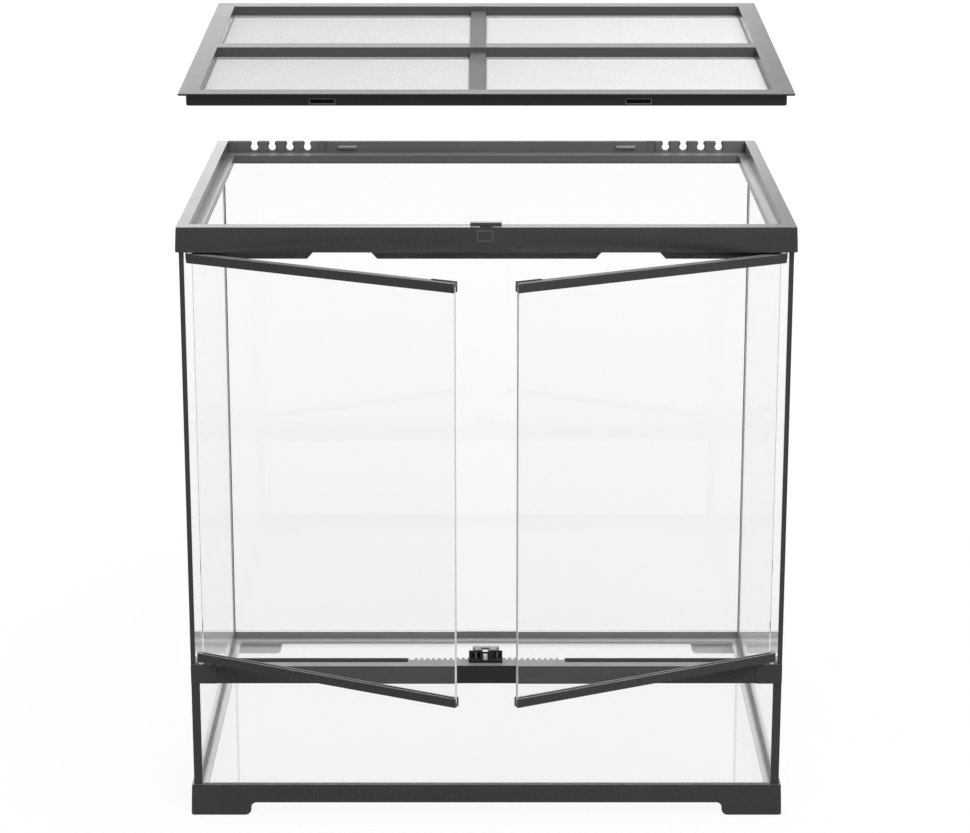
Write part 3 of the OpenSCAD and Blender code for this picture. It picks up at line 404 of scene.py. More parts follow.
def shader_group(name, inputs, outputs):
    """An empty node group, and the sockets of its inputs. The inputs are numbers with their
    defaults; the outputs are numbers too, but for a Normal."""
    tree = bpy.data.node_groups.new(name, "ShaderNodeTree")
    for label, default in inputs.items():
        socket = tree.interface.new_socket(label, in_out="INPUT", socket_type="NodeSocketFloat")
        socket.default_value = default
    for label in outputs:
        kind = "NodeSocketVector" if label == "Normal" else "NodeSocketFloat"
        tree.interface.new_socket(label, in_out="OUTPUT", socket_type=kind)
    return tree, tree.nodes.new("NodeGroupInput").outputs


def add(tree, kind, settings=None, **inputs):
    """A shader node with its settings, and its inputs set to a value or joined to a socket. An
    input goes by its name, with _ for a space, or by its place, as i0, i1 and so on."""
    node = tree.nodes.new(f"ShaderNode{kind}")
    for key, value in (settings or {}).items():
        setattr(node, key, value)
    for key, value in inputs.items():
        socket = node.inputs[int(key[1:]) if key[1:].isdigit() else key.replace("_", " ")]
        if isinstance(value, bpy.types.NodeSocket):
            tree.links.new(value, socket)
        else:
            socket.default_value = value
    return node


def maths(operation, tree, a, b=0.0, clamp=False):
    """The output of a Math node, kept from 0 to 1 if asked."""
    settings = {"operation": operation, "use_clamp": clamp}
    return add(tree, "Math", settings, i0=a, i1=b).outputs[0]


plus, minus, times, least, most = (
    functools.partial(maths, operation)
    for operation in ("ADD", "SUBTRACT", "MULTIPLY", "MINIMUM", "MAXIMUM"))


def noise(tree, place, **inputs):
    """The strength of a noise at a place."""
    return add(tree, "TexNoise", Vector=place, **inputs).outputs["Fac"]


def ramp(tree, value, **ends):
    """A value carried from one range to another, and held at its ends."""
    return add(tree, "MapRange", Value=value, **ends).outputs["Result"]


def on_piece(tree):
    """The place on the piece, in its own coordinates."""
    return add(tree, "TexCoord").outputs["Object"]


def upward(tree):
    """How far the face looks up: the height of its normal, from -1 to 1."""
    normal = add(tree, "NewGeometry").outputs["Normal"]
    return add(tree, "SeparateXYZ", i0=normal).outputs["Z"]


def put_out(tree, **values):
    """Joins each value to the group's output of that name."""
    leave = tree.nodes.new("NodeGroupOutput")
    for name, value in values.items():
        tree.links.new(value, leave.inputs[name])
    return tree


def grain_group():
    """Fine moulded grain: small noise raises the surface and scatters the roughness, and
    broad noise makes some areas a little glossier than others."""
    tree, given = shader_group(
        "Moulded grain", {"Scale": 900.0, "Depth": 0.3, "Roughness": 0.4, "Spread": 0.1},
        ("Roughness", "Normal", "Tone"))
    place = on_piece(tree)
    fine = noise(tree, place, Scale=given["Scale"], Detail=2.0)
    broad = noise(tree, place, Scale=14.0, Detail=4.0)
    swing = times(tree, minus(tree, broad, 0.5), given["Spread"])
    grit = times(tree, minus(tree, fine, 0.5), 0.12)
    rough = plus(tree, given["Roughness"], plus(tree, swing, grit), True)
    bump = add(tree, "Bump", Strength=given["Depth"], Distance=0.00008, Height=fine)
    return put_out(tree, Roughness=rough, Normal=bump.outputs["Normal"], Tone=broad)


def wear_group():
    """Edge wear: where a rounded-off normal turns away from the true one, broken by noise."""
    tree, given = shader_group("Edge wear", {"Radius": 0.0008, "Amount": 0.5}, ("Mask",))
    soft = add(tree, "Bevel", {"samples": 4}, Radius=given["Radius"])
    true = add(tree, "NewGeometry").outputs["True Normal"]
    turn = add(tree, "VectorMath", {"operation": "DOT_PRODUCT"},
               i0=soft.outputs["Normal"], i1=true).outputs["Value"]
    edge = times(tree, minus(tree, 1.0, turn), 6.0, True)
    patch = noise(tree, on_piece(tree), Scale=120.0, Detail=5.0)
    broken = ramp(tree, patch, From_Min=0.42, From_Max=0.7)
    return put_out(tree, Mask=times(tree, times(tree, edge, broken), given["Amount"], True))


def dust_group():
    """Dust, which settles on faces that look up, thicker in some patches than in others; laid on
    thickly, it also paints those faces lighter as top light would.
    """
    tree, given = shader_group("Settled dust", {"Amount": 0.1}, ("Mask",))
    facing = ramp(tree, upward(tree), From_Min=0.5, From_Max=1.0)
    patch = noise(tree, on_piece(tree), Scale=32.0, Detail=8.0, Roughness=0.7)
    cloud = ramp(tree, patch, From_Min=0.35, From_Max=0.75, To_Min=0.72)
    return put_out(tree, Mask=times(tree, times(tree, facing, cloud), given["Amount"], True))


def inside_group():
    """The inside of a frame: 1 between the two side walls and the front and rear walls and
    above the floor, the walls' own faces with it, and 0 outside. Upright 1 keeps only the faces
    that stand up."""
    tree, given = shader_group(
        "Inside faces", {"Middle": 0.0, "Half Width": 0.1, "Front": 0.0, "Back": 0.1,
                         "Floor": -FAR, "Upright": 0.0}, ("Mask",))
    place = add(tree, "SeparateXYZ", i0=on_piece(tree)).outputs
    side = maths("ABSOLUTE", tree, minus(tree, place["X"], given["Middle"]))
    nearest = functools.reduce(functools.partial(least, tree), (
        minus(tree, given["Half Width"], side), minus(tree, place["Y"], given["Front"]),
        minus(tree, given["Back"], place["Y"]), minus(tree, place["Z"], given["Floor"])))
    within = times(tree, nearest, MASK_SLOPE, True)
    stands = ramp(tree, maths("ABSOLUTE", tree, upward(tree)), From_Min=0.6, From_Max=0.3)
    kept = most(tree, stands, minus(tree, 1.0, given["Upright"]))
    return put_out(tree, Mask=times(tree, within, kept))


def film_group():
    """The faint film on handled glass: wiping streaks and soft patches in the roughness."""
    tree, given = shader_group("Glass film", {"Amount": 0.03}, ("Roughness",))
    stretch = add(tree, "Mapping", Vector=on_piece(tree), Rotation=(0.0, 0.35, 0.0),
                  Scale=(5.0, 5.0, 1.2))
    streak = noise(tree, stretch.outputs["Vector"], Scale=6.0, Detail=6.0)
    smear = ramp(tree, streak, From_Min=0.52, From_Max=0.8)
    return put_out(tree, Roughness=times(tree, smear, given["Amount"]))


def brush_group():
    """Drawn metal: noise pulled out along one axis raises the surface and its roughness."""
    tree, given = shader_group("Drawn metal", {"Scale": 400.0, "Roughness": 0.3},
                               ("Roughness", "Normal", "Tone"))
    stretch = add(tree, "Mapping", Vector=on_piece(tree), Scale=(0.08, 1.0, 1.0))
    lines = noise(tree, stretch.outputs["Vector"], Scale=given["Scale"], Detail=4.0)
    swing = times(tree, minus(tree, lines, 0.5), 0.25)
    rough = plus(tree, given["Roughness"], swing, True)
    bump = add(tree, "Bump", Strength=0.2, Distance=0.00005, Height=lines)
    return put_out(tree, Roughness=rough, Normal=bump.outputs["Normal"], Tone=lines)


GROUP_MAKERS = {
    "Moulded grain": grain_group, "Edge wear": wear_group, "Settled dust": dust_group,
    "Inside faces": inside_group, "Glass film": film_group, "Drawn metal": brush_group,
}


def use_group(tree, name, **inputs):
    """The outputs of a shared node group placed in a material, and made the first time."""
    made = bpy.data.node_groups.get(name) or GROUP_MAKERS[name]()
    node = tree.nodes.new("ShaderNodeGroup")
    node.node_tree = made
    for key, value in inputs.items():
        node.inputs[key].default_value = value
    return node.outputs


def blank(name):
    """A material, and its empty node tree."""
    material = bpy.data.materials.new(name)
    material.use_nodes = True
    material.node_tree.nodes.clear()
    return material, material.node_tree


def mix_colour(tree, factor, a, b):
    """The output of a colour mix of a and b by the factor."""
    return add(tree, "Mix", {"data_type": "RGBA"}, i0=factor, i6=a, i7=b).outputs[2]


# ---------- finishes

def rgba(colour, shade=1.0):
    """A colour property as four numbers, darkened or lightened by the shade."""
    return (*(min(1.0, channel * shade) for channel in colour), 1.0)


def plastic(name, colour, roughness, specular, dust=0.0, wear=0.0, rub=4.0, inside=None, haze=0.0,
            shelf_haze=0.0, matt=None, matt_by=0.0, panel=None, panel_colour=None):
    """Injection-moulded plastic with a fine satin grain, rubbed edges and settled dust; a strong rub
    also paints a highlight on the edges, and heavy dust paints up-facing faces lighter as top
    light would. The faces inside a frame may be painted paler and the shelf below them pale, both
    as painted light, one bar of it may be matt, and a panel of it may be painted a darker colour
    as painted shade."""
    material, tree = blank(name)

    def within(bounds):
        """The mask of the faces inside some bounds."""
        return use_group(tree, "Inside faces", **bounds)["Mask"]

    grain = use_group(tree, "Moulded grain", Scale=1400.0, Depth=0.25, Roughness=roughness,
                      Spread=0.06)
    worn = use_group(tree, "Edge wear", Radius=0.0007, Amount=wear)["Mask"]
    settled = use_group(tree, "Settled dust", Amount=dust)["Mask"]
    tone = mix_colour(tree, grain["Tone"], rgba(colour, 0.8), rgba(colour, 1.2))
    # Painted shade: a panel, the middle of the vent rail, is painted in the darker colour.
    if panel:
        tone = mix_colour(tree, within(panel), tone, rgba(panel_colour))
    # Rubbed edges, which a strong rub also makes a painted highlight, then dust, which also paints up-facing faces
    # lighter.
    dusty = mix_colour(tree, settled, mix_colour(tree, worn, tone, rgba(colour, rub)), SETTLED)
    rough = plus(tree, grain["Roughness"], times(tree, settled, 0.2), True)
    # Painted light: the faces inside a frame are painted paler, as if more lit, and the shelf below them pale.
    if inside:
        walls = within(inside)
        dusty = mix_colour(tree, times(tree, walls, haze), dusty, SETTLED)
        if shelf_haze:
            shelf = minus(tree, within({**inside, "Floor": -FAR, "Upright": 0.0}), walls, True)
            dusty = mix_colour(tree, times(tree, shelf, shelf_haze), dusty, BEDDING)
    if matt:
        rough = plus(tree, rough, times(tree, within(matt), matt_by), True)
    shader = add(tree, "BsdfPrincipled", Base_Color=dusty, Roughness=rough,
                 Normal=grain["Normal"], Specular_IOR_Level=specular)
    add(tree, "OutputMaterial", Surface=shader.outputs[0])
    return material


def glass(name, tint, film=0.02, roughness=0.0, clear_share=1.0, shine=0.4):
    """Float glass: refracts, mirrors by its shine, carries a faint film, and lets lamp light
    through to the inside."""
    material, tree = blank(name)
    rough = plus(tree, use_group(tree, "Glass film", Amount=film)["Roughness"], roughness)
    shader = add(tree, "BsdfPrincipled", Base_Color=rgba(tint), Roughness=rough, IOR=1.5,
                 Specular_Tint=(shine, shine, shine, 1.0), Transmission_Weight=clear_share)
    clear = add(tree, "BsdfTransparent", Color=rgba(tint))
    path = add(tree, "LightPath")
    passing = most(tree, path.outputs["Is Shadow Ray"], path.outputs["Is Diffuse Ray"])
    mixed = add(tree, "MixShader", i0=passing, i1=shader.outputs[0], i2=clear.outputs[0])
    add(tree, "OutputMaterial", Surface=mixed.outputs[0])
    return material


def metal(name, colour, roughness, scale):
    """Plated or drawn metal with fine lines along it."""
    material, tree = blank(name)
    lines = use_group(tree, "Drawn metal", Scale=scale, Roughness=roughness)
    tone = mix_colour(tree, lines["Tone"], rgba(colour, 0.85), rgba(colour, 1.1))
    shader = add(tree, "BsdfPrincipled", Base_Color=tone, Metallic=1.0,
                 Roughness=lines["Roughness"], Normal=lines["Normal"])
    add(tree, "OutputMaterial", Surface=shader.outputs[0])
    return material


def sealant(name, colour):
    """Cured silicone: milky and half clear, with a soft uneven gloss."""
    material, tree = blank(name)
    grain = use_group(tree, "Moulded grain", Scale=260.0, Depth=0.4, Roughness=0.32, Spread=0.2)
    tone = mix_colour(tree, grain["Tone"], rgba(colour, 0.85), rgba(colour, 1.1))
    shader = add(tree, "BsdfPrincipled", Base_Color=tone, Roughness=grain["Roughness"],
                 Normal=grain["Normal"], IOR=1.42, Transmission_Weight=0.4)
    add(tree, "OutputMaterial", Surface=shader.outputs[0])
    return material


FINISHES = {}

# Finishes that several pieces share, by the end of their names.
LIKE = {"_roller": "roller", "top_rail": "door_rail", "bottom_rail": "door_rail",
        "_shutter": "inlet_shutter"}


def make_finishes():
    """One material for each of the record's slots, one for the ground edges of the panes, and
    one for each piece or kind of piece that differs from its slot's."""
    colours = bpy.context.scene.terrarium_colours
    low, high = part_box("top_frame")
    recess = {"Half Width": high[0] - RECESS_SIDE, "Front": low[1] + RECESS_FRONT,
              "Back": low[1] + RECESS_BACK}
    rear = {"Half Width": high[0] - REAR_SIDE, "Front": low[1] + REAR_FRONT,
            "Back": high[1] - REAR_SKIN}
    low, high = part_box("base_frame")
    well = {"Half Width": high[0] - WELL_SKIN, "Front": low[1] + WELL_FRONT,
            "Back": high[1] - WELL_SKIN, "Floor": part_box("floor_glass")[0][2] - WELL_DROP,
            "Upright": 1.0}
    front_left, rear_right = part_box("lid_screen_front_left"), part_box("lid_screen_rear_right")
    length = {"Front": front_left[0][1], "Back": rear_right[1][1]}
    screens = {"Half Width": rear_right[1][0], **length, "Upright": 1.0}
    bar = {"Middle": (front_left[1][0] + rear_right[0][0]) / 2, "Half Width": BAR_HALF, **length}
    middle = {"Half Width": PANEL_HALF, "Front": -FAR, "Back": FAR}
    satin = functools.partial(plastic, colour=colours.frame, roughness=0.27, specular=0.42,
                              wear=0.35)
    dark = functools.partial(plastic, colour=colours.rail, roughness=0.25, specular=0.32, wear=0.3)
    FINISHES.update({
        "frame_plastic": satin("satin frame plastic", dust=0.16),
        "dark_plastic": dark("dark satin plastic", dust=0.11),
        # Painted light: the inner faces of the rim's recess, the shutters, the base's well and the lid's screen
        # walls are painted paler.
        "top_frame": satin("rim plastic", dust=0.19, inside=recess, haze=0.28, matt=rear,
                           matt_by=0.3),
        "base_frame": satin("base plastic", dust=0.16, inside=well, haze=0.36, shelf_haze=0.95),
        "lid_frame": dark("lid plastic", dust=0.27, inside=screens, haze=0.15, matt=bar,
                          matt_by=0.2),
        # Dust this heavy on the lock, the vent rail and the comb also paints their tops lighter, as top light
        # would.
        "lid_lock": satin("lock plastic", dust=0.72),
        "inlet_shutter": satin("shutter plastic", dust=0.19, inside=recess, haze=0.28),
        # Painted shade: the middle of the vent rail is painted in the darker colour.
        "vent_rail": satin("vent rail plastic", roughness=0.26, specular=0.37, dust=0.72,
                           wear=0.3, panel=middle, panel_colour=colours.rail),
        "vent_comb": satin("comb plastic", dust=0.72),
        # Painted highlight: the lips are pale to add to the highlight their rounded edges catch.
        "lip": plastic("pale lip plastic", colours.lip, 0.35, 0.4, dust=0.1, wear=0.1),
        # The vinyl splines take this finish, and the tabs' strips take it as painted highlight.
        "spline": plastic("pale vinyl", colours.spline, 0.4, 0.3),
        "roller": metal("blackened steel", colours.roller, 0.45, 700.0),
        # Painted shade: the dark pads in the lid's slots stand in for the shade in their hollows.
        "felt": plastic("black felt", colours.felt, 0.95, 0.05),
        # Dust this heavy also paints the door rails' tops lighter, as top light would, and the strong rub paints a
        # highlight along their edges.
        "door_rail": satin("door rail plastic", dust=0.60, wear=0.6, rub=13.0),
        "latch_cap": metal("dull plated steel", colours.dull_steel, 0.42, 700.0),
        "tank_glass": glass("float glass", colours.glass),
        # Painted shade: the side and rear panes are darker copies of the same float glass.
        "side_glass": glass("thick float glass", [part - SIDE_SHADE for part in colours.glass]),
        "back_glass": glass("rear float glass", [part - BACK_SHADE for part in colours.glass]),
        "floor_glass": glass("floor glass", colours.glass, shine=1.0),
        "ground_edge": glass("ground glass edge", colours.glass_edge, film=0.05, roughness=0.3,
                             clear_share=0.2),
        "silicone": sealant("clear silicone", colours.silicone),
        # Painted shade: the rear corner beads are dark to stand in for the dark line of the back glass's edge.
        "corner_silicone": sealant("dark silicone", colours.corner),
        "steel": metal("zinc-plated steel", colours.steel, 0.3, 500.0),
        "steel_mesh": metal("bright woven wire", colours.wire, 0.35, 900.0),
        "rubber": plastic("moulded rubber", colours.rubber, 0.62, 0.25, dust=0.08, wear=0.1),
    })


def finish_for(node):
    """The finish made for a CAD node or for pieces like it, or else that of its slot."""
    for ending, finish in LIKE.items():
        if node.endswith(ending):
            return finish
    return node if node in FINISHES else SLOT_OF[node]


# ---------- settings

def length_property(name, description, default, low, high, precision=5):
    """A length setting."""
    return FloatProperty(name=name, description=description, default=default, min=low, max=high,
                         unit="LENGTH", subtype="DISTANCE", precision=precision)


def colour_property(name, pieces, *default):
    """A setting for the colour of some pieces."""
    return FloatVectorProperty(name=name, description=f"Colour of the {pieces}", default=default,
                               min=0.0, max=1.0, size=3, subtype="COLOR")


def power_property(name, place, default):
    """A setting for the power of a soft lamp."""
    return FloatProperty(name=name, description=f"Power of the soft lamp {place}",
                         default=default, min=0.0, max=500.0, unit="POWER")


class TerrariumSizes(bpy.types.PropertyGroup):
    """Sizes that a user may change before the pieces are built."""

    edge_round: length_property("Edge rounding", "Radius on moulded edges", 0.0006, 0.0001, 0.0012)
    arris: length_property("Glass arris", "Ground chamfer round each pane", 0.0005, 0.0001, 0.0012)
    seat: length_property("Glass seat", "Clearance round each pane", 0.00006, 0.00002, 0.0002)
    bead_leg: length_property("Silicone leg", "Leg of a silicone bead", 0.0021, 0.001, 0.0022)
    screen_pitch: length_property("Screen pitch", "Spacing of screen wires", 0.0022, 0.0022, 0.004)
    screen_wire: length_property("Screen wire", "Width of a screen wire", 0.0003, 0.0002, 0.0004)
    vent_pitch: length_property("Vent pitch", "Spacing of vent mesh wires", 0.0012, 0.001, 0.003)
    vent_wire: length_property("Vent wire", "Width of a vent mesh wire", 0.00028, 0.0002, 0.0004)


class TerrariumColours(bpy.types.PropertyGroup):
    """Colours that a user may change before the pieces are built."""

    frame: colour_property("Frame", "frames, blocks and door rails", 0.036, 0.036, 0.037)
    # The middle of the vent rail takes this colour as painted shade.
    rail: colour_property("Dark plastic", "lid, latch housing and middle of the vent rail",
                          0.010, 0.010, 0.0105)
    glass: colour_property("Glass", "glass, through its thickness", 0.968, 0.971, 0.970)
    glass_edge: colour_property("Glass edge", "ground edges of the glass", 0.93, 0.94, 0.935)
    silicone: colour_property("Silicone", "sealant", 0.30, 0.31, 0.31)
    # Painted shade: this dark colour stands in for the dark line of the back glass's edge.
    corner: colour_property("Corner silicone", "sealant in the rear corners", 0.04, 0.04, 0.04)
    steel: colour_property("Steel", "plated steel parts", 0.62, 0.63, 0.65)
    dull_steel: colour_property("Dull steel", "latch's cap", 0.40, 0.40, 0.405)
    # The lips are pale as painted highlight on their rounded edges.
    lip: colour_property("Lips", "lips of the lid's slots and the front pad", 0.16, 0.16, 0.162)
    # The pads in the lid's slots are dark as painted shade.
    felt: colour_property("Felt", "pads in the lid's slots", 0.009, 0.009, 0.009)
    # The tabs' strips take this colour as painted highlight.
    spline: colour_property("Spline", "vinyl splines and strips", 0.45, 0.45, 0.45)
    roller: colour_property("Rollers", "latch's rollers", 0.16, 0.16, 0.162)
    wire: colour_property("Wire", "woven wire", 0.625, 0.625, 0.635)
    # The latch's pads take this colour as painted shade; the bumpers are rubber.
    rubber: colour_property("Rubber", "bumpers and the latch's pads", 0.012, 0.012, 0.013)
    floor: colour_property("Floor", "studio floor", 0.09, 0.09, 0.09)


class TerrariumStudio(bpy.types.PropertyGroup):
    """The camera and lamps."""

    camera_distance: length_property("Camera distance", "In front of the rim", 2.720, 1.0, 6.0, 3)
    camera_height: length_property("Camera height", "Above the floor", 1.222, 0.1, 3.0, 3)
    camera_pitch: FloatProperty(
        name="Camera pitch", description="How far the camera looks down",
        default=math.radians(15.42), min=0.0, max=1.5, unit="ROTATION", subtype="ANGLE")
    camera_lens: FloatProperty(
        name="Focal length", description="Focal length on a sensor 36 mm wide",
        default=105.25, min=20.0, max=300.0, unit="CAMERA")
    back_light: power_property("Back light", "behind the terrarium", 26.0)
    top_light: power_property("Top light", "above the terrarium", 13.0)
    key_light: power_property("Key light", "above the front", 105.0)


# ---------- operators

class TERRARIUM_OT_mouldings(bpy.types.Operator):
    """Rounds the edges of the frames, rails, blocks, bushes, latch and lid, and sets the spring"""

    bl_idname = "terrarium.mouldings"
    bl_label = "Mouldings and metalwork"

    def execute(self, context):
        edge = context.scene.terrarium_sizes.edge_round
        for node, share in ROUNDED.items():
            rounded_copy(node, edge * share)
        self.latch_spring()
        return {"FINISHED"}

    def latch_spring(self):
        """The latch's spring, which on the real latch shortens towards its rear end as the lever is
        pressed; here it is a smooth copy with a mesh of its own.
        """
        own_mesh(smooth_copy("latch_spring", "latch_spring_coil"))


class TERRARIUM_OT_panes(bpy.types.Operator):
    """Cuts the seven panes of glass, with ground edges"""

    bl_idname = "terrarium.panes"
    bl_label = "Glass panes"

    def execute(self, context):
        sizes = context.scene.terrarium_sizes
        for node, faces in PANES.items():
            mesh = pane_mesh(node, sizes.arris, sizes.seat, HINGE_EDGE.get(node))
            stand_in(mesh, [faces, "ground_edge"], node)
        return {"FINISHED"}


class TERRARIUM_OT_sealant(bpy.types.Operator):
    """Runs a concave bead of silicone along every inside corner of the tank"""

    bl_idname = "terrarium.sealant"
    bl_label = "Silicone beads"

    def execute(self, context):
        leg = context.scene.terrarium_sizes.bead_leg
        (x0, y0, z0), (x1, y1, z1) = shut_box("silicone_seals")
        front_top = shut_box("vent_rail")[0][2]
        rng = np.random.default_rng(4)
        sides = ((x0, (1, 0, 0)), (x1, (-1, 0, 0)))
        ends = ((y0, (0, 1, 0)), (y1, (0, -1, 0)))
        runs = [((x, y1, z0), (x, y1, z1), inward, (0, -1, 0)) for x, inward in sides]
        runs += [((x, y0, z0), (x, y0, front_top), inward, (0, 1, 0)) for x, inward in sides]
        runs += [((x0, y, z0), (x1, y, z0), inward, (0, 0, 1)) for y, inward in ends]
        runs += [((x, y0, z0), (x, y1, z0), inward, (0, 0, 1)) for x, inward in sides]
        points, quads, caps, start = [], [], [], 0
        for index, run in enumerate(runs):
            grid = bead_run(run, leg * REAR_LEG if index < 2 else leg, rng)
            rows, columns = grid.shape[:2]
            points.append(grid.reshape(-1, 3))
            quads.append(grid_faces(rows, columns, wrap_columns=True) + start)
            caps += end_caps(rows, columns, start)
            start += rows * columns
        mesh = mesh_from("silicone_beads", np.concatenate(points), np.concatenate(quads), caps)
        face_out(mesh, BEAD_ANGLE)
        # The rear corner beads take the dark finish, painted shade for the back glass's edge.
        centres = np.array([face.center for face in mesh.polygons])
        at_back = (centres[:, 1:] > (y1 - leg, z0 + leg)).all(1)
        mesh.polygons.foreach_set("material_index", at_back.astype(np.int32))
        stand_in(mesh, ["silicone", "corner_silicone"], "silicone_seals")
        return {"FINISHED"}


class TERRARIUM_OT_screens(bpy.types.Operator):
    """Weaves the four lid screens and lays a vinyl spline round each"""

    bl_idname = "terrarium.screens"
    bl_label = "Lid screens"

    def execute(self, context):
        sizes = context.scene.terrarium_sizes
        profile = SPLINE_RADIUS * cord_profile() + SPLINE_PLACE
        for node in SCREENS:
            low, high = shut_box(node)
            height = high[2] - sizes.screen_wire * SCREEN_DROP
            field = (low[:2] + SCREEN_GAP, high[:2] - SCREEN_GAP)
            mesh = woven_mesh(f"{node}_weave", [field], height, sizes.screen_pitch,
                              sizes.screen_wire, "lid")
            stand_in(mesh, ["steel_mesh"], node)
            bead = loop_mesh(f"{node}_bead", low, high, high[2], profile, "lid")
            stand_in(bead, ["spline"], body="lid")
        return {"FINISHED"}


class TERRARIUM_OT_vent(bpy.types.Operator):
    """Weaves the two strips of fine mesh under the vent slots"""

    bl_idname = "terrarium.vent"
    bl_label = "Vent mesh"

    def execute(self, context):
        sizes = context.scene.terrarium_sizes
        (x0, y0, z0), (x1, y1, z1) = shut_box("vent_mesh")
        inner = shut_box("vent_comb")[1][0]
        strips = np.array([((x0, y0), (-inner, y1)), ((inner, y0), (x1, y1))])
        mesh = woven_mesh("vent_mesh_weave", strips, (z0 + z1) / 2, sizes.vent_pitch,
                          sizes.vent_wire, "enclosure")
        stand_in(mesh, ["steel_mesh"], "vent_mesh")
        return {"FINISHED"}


class TERRARIUM_OT_small_parts(bpy.types.Operator):
    """Sets the latch's pads and the lid slots' pads, dark as painted shade, and the slots' lips,
    the front pad's lip and the tabs' strips, pale as painted highlight
    """

    bl_idname = "terrarium.small_parts"
    bl_label = "Pads, lips and strips"

    def execute(self, context):
        self.latch_pads()
        self.lid_slots()
        self.top_frame()
        return {"FINISHED"}

    def latch_pads(self):
        """Three dark pads near the front edge of the latch's cap plate: painted shade for the shadowed
        slit and the dark spots there.
        """
        low, high = shut_box("latch_cap")
        y0, y1 = (low[1] + depth for depth in LATCH_PAD_DEPTH)
        z0, z1 = (high[2] + level for level in LATCH_PAD_LEVELS)
        for side, (x0, x1) in LATCH_PADS.items():
            mesh = pad_mesh(f"{side}_latch_pad", (x0, y0, z0), (x1, y1, z1), LATCH_PAD_ROUND)
            stand_in(mesh, ["rubber"])

    def lid_slots(self):
        """A pale lip round each slot in the front of the lid's skirt, its pale tone a painted highlight,
        and a dark pad in it as painted shade of the slot's hollow.
        """
        low, high = shut_box("lid_frame")
        skirt_front = low[1] + SKIRT_INSET
        y0, y1 = (skirt_front + depth for depth in SLOT_PAD_DEPTH)
        z0 = high[2] - SLOT_DROP
        z1 = z0 + SLOT_H
        for side, x in LID_SLOTS.items():
            x0, x1 = x - SLOT_HALF, x + SLOT_HALF
            mesh = loop_mesh(f"{side}_lid_slot_lip", (x0, z0), (x1, z1), skirt_front,
                             cord_profile() * SLOT_LIP - (SLOT_LIP, 0), "lid", upright=True)
            stand_in(mesh, ["lip"], body="lid")
            mesh = pad_mesh(f"{side}_lid_slot_pad", (x0, y0, z0), (x1, y1, z1), body="lid")
            stand_in(mesh, ["felt"], body="lid")

    def top_frame(self):
        """A lip round the bare pad on the top frame's front, and a strip behind each hook tab, both
        pale as painted highlight.
        """
        low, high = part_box("top_frame")
        mesh = loop_mesh("front_pad_lip", (PAD_SIDES[0], PAD_ENDS[0]), (PAD_SIDES[1], PAD_ENDS[1]),
                         low[1] + PAD_DEPTH, cord_profile() * PAD_LIP + PAD_LIP_PLACE, "enclosure",
                         upright=True)
        stand_in(mesh, ["lip"])
        wall, top = low[1] + HOOK_WALL, high[2] - HOOK_DROP
        y0, y1 = (wall - depth for depth in STRIP_DEPTH)
        z0, z1 = (top + level for level in STRIP_LEVELS)
        for side, x in (("left", -HOOK_X), ("right", HOOK_X)):
            mesh = pad_mesh(f"{side}_hook_strip", (x - STRIP_HALF, y0, z0),
                            (x + STRIP_HALF, y1, z1), STRIP_ROUND)
            stand_in(mesh, ["spline"])


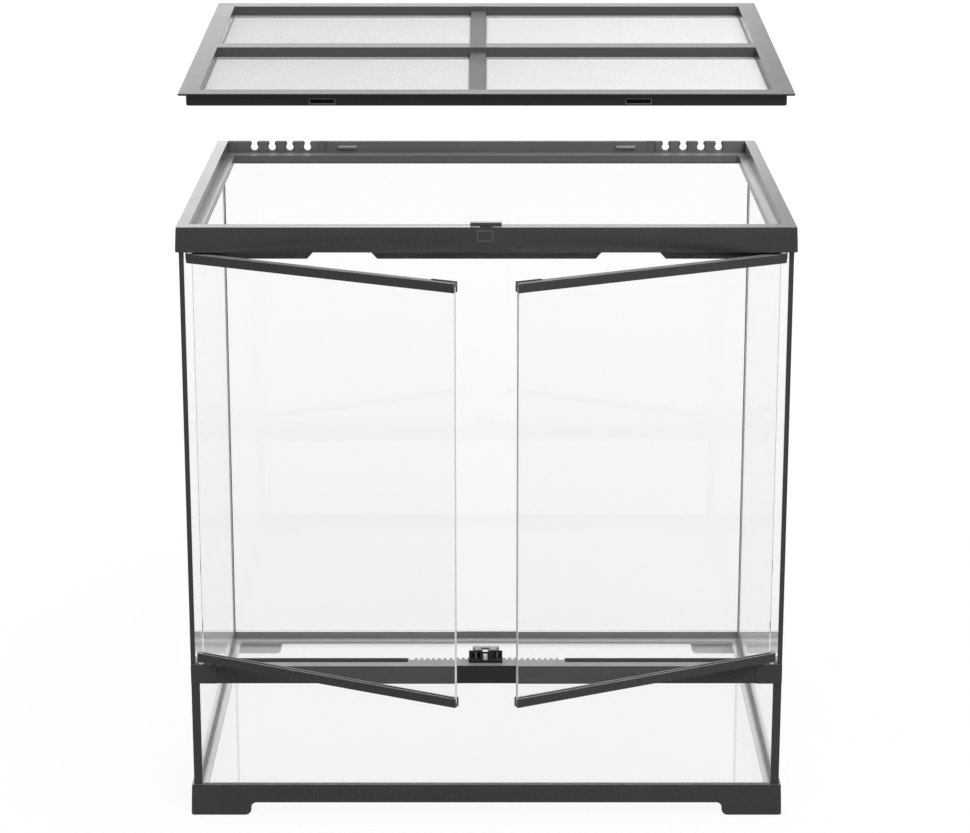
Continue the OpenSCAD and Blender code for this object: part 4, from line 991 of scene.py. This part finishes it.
class TERRARIUM_OT_stage(bpy.types.Operator):
    """Lays the pale floor and sets the world, the lamps and the camera"""

    bl_idname = "terrarium.stage"
    bl_label = "Studio"

    def execute(self, context):
        scene = context.scene
        studio = scene.terrarium_studio
        self.floor(scene)
        self.world(scene)
        rim_front = shut_box("top_frame")[0][1] + DRAFT
        middle = Vector((0.0, rim_front + 0.2, 0.35))
        above = Vector((-0.2, rim_front + 0.95, 2.3))
        back = self.lamp("back softbox", (-0.92, rim_front + 2.6, 0.86), middle, (3.16, 1.12),
                         studio.back_light)
        back.visible_diffuse = False
        self.keep_off_panes(back)
        self.lamp("top softbox", above, above * Vector((1, 1, 0)), (2.6, 1.8), studio.top_light)
        self.lamp("key softbox", (1.4, rim_front - 2.2, 3.0), middle, (2.4, 2.4), studio.key_light)
        self.camera(scene, studio, rim_front)
        scene.view_settings.view_transform = "Standard"
        scene.cycles.max_bounces = scene.cycles.transmission_bounces = 24
        scene.cycles.transparent_max_bounces = 32
        return {"FINISHED"}

    def seen(self, tree):
        """How much of the white surround a ray sees: all of it but in a reflection, and there
        a part."""
        path = add(tree, "LightPath")
        straight = most(tree, path.outputs["Is Camera Ray"], path.outputs["Is Transmission Ray"])
        mirrored = times(tree, path.outputs["Is Glossy Ray"], 0.6)
        return most(tree, straight, mirrored)

    def floor(self, scene):
        """A wide level floor that looks white to the camera and keeps the soft shadows."""
        half = 20.0
        points = np.array([[-half, -half, 0], [half, -half, 0], [half, half, 0], [-half, half, 0]])
        mesh = mesh_from("studio_floor", points, np.array([[0, 1, 2, 3]]), smooth=False)
        material, tree = blank("studio floor")
        away = add(tree, "VectorMath", {"operation": "LENGTH"}, i0=on_piece(tree)).outputs["Value"]
        level = ramp(tree, away, From_Min=0.5, From_Max=2.2, To_Min=0.90, To_Max=0.985)
        matt = add(tree, "BsdfDiffuse", Color=rgba(scene.terrarium_colours.floor))
        glow = add(tree, "Emission", Color=WHITE, Strength=times(tree, self.seen(tree), level))
        both = add(tree, "AddShader", i0=matt.outputs[0], i1=glow.outputs[0])
        add(tree, "OutputMaterial", Surface=both.outputs[0])
        mesh.materials.append(material)
        placed("studio_floor", mesh)

    def world(self, scene):
        """White to the camera and through glass, and dimmer in gloss and as light on the object."""
        world = bpy.data.worlds.new("studio")
        world.use_nodes = True
        tree = world.node_tree
        tree.nodes.clear()
        back = add(tree, "Background", Color=WHITE,
                   Strength=ramp(tree, self.seen(tree), To_Min=0.55, To_Max=1.0))
        add(tree, "OutputWorld", Surface=back.outputs[0])
        scene.world = world

    def lamp(self, name, place, target, size, power):
        """A soft rectangular lamp that the camera doesn't show."""
        data = bpy.data.lights.new(name, "AREA")
        data.shape = "RECTANGLE"
        data.size, data.size_y = size
        data.energy = power
        lamp = placed(name, data)
        lamp.location = place
        lamp.rotation_euler = (Vector(target) - Vector(place)).to_track_quat("-Z", "Y").to_euler()
        lamp.visible_camera = False
        return lamp

    def keep_off_panes(self, lamp):
        """Flags the panes so that this lamp lays no mirror image of itself on them."""
        shy = bpy.data.collections.new("panes out of the back softbox's light")
        for node in PANES:
            shy.objects.link(bpy.data.objects[f"{node}_pane"])
        lamp.light_linking.receiver_collection = shy
        for entry in shy.collection_objects:
            entry.light_linking.link_state = "EXCLUDE"

    def camera(self, scene, studio, rim_front):
        """The camera stands in front of the middle and looks down at the doors."""
        data = bpy.data.cameras.new("camera")
        camera = placed("camera", data)
        camera.location = (0.0, rim_front - studio.camera_distance, studio.camera_height)
        camera.rotation_euler = (math.pi / 2 - studio.camera_pitch, 0.0, 0.0)
        data.lens = studio.camera_lens
        data.sensor_width = 36.0
        data.shift_x, data.shift_y = CAMERA_SHIFT
        data.clip_end = 60.0
        scene.camera = camera


class TERRARIUM_PT_panel(bpy.types.Panel):
    """Settings and steps of the terrarium"""

    bl_idname = "TERRARIUM_PT_panel"
    bl_label = "Terrarium"
    bl_space_type = "VIEW_3D"
    bl_region_type = "UI"
    bl_category = "Terrarium"

    def draw(self, context):
        for group in SETTINGS:
            settings = getattr(context.scene, group)
            box = self.layout.box()
            for name in settings.__annotations__:
                box.prop(settings, name)
        for step in STEPS:
            self.layout.operator(step.bl_idname)


STEPS = (TERRARIUM_OT_mouldings, TERRARIUM_OT_panes, TERRARIUM_OT_sealant, TERRARIUM_OT_screens,
         TERRARIUM_OT_vent, TERRARIUM_OT_small_parts, TERRARIUM_OT_stage)
SETTINGS = {"terrarium_sizes": TerrariumSizes, "terrarium_colours": TerrariumColours,
            "terrarium_studio": TerrariumStudio}


def register():
    """Registers the settings, the steps and the panel."""
    for name, group in SETTINGS.items():
        bpy.utils.register_class(group)
        setattr(bpy.types.Scene, name, PointerProperty(type=group))
    for step in (*STEPS, TERRARIUM_PT_panel):
        bpy.utils.register_class(step)


def unregister():
    """Takes them out again, in reverse."""
    for step in reversed((*STEPS, TERRARIUM_PT_panel)):
        bpy.utils.unregister_class(step)
    for name, group in reversed(SETTINGS.items()):
        delattr(bpy.types.Scene, name)
        bpy.utils.unregister_class(group)


def main():
    """Builds every piece and the studio."""
    register()
    make_finishes()
    bpy.ops.terrarium.mouldings()
    bpy.ops.terrarium.panes()
    bpy.ops.terrarium.sealant()
    bpy.ops.terrarium.screens()
    bpy.ops.terrarium.vent()
    bpy.ops.terrarium.small_parts()
    bpy.ops.terrarium.stage()


if __name__ == "__main__":
    main()
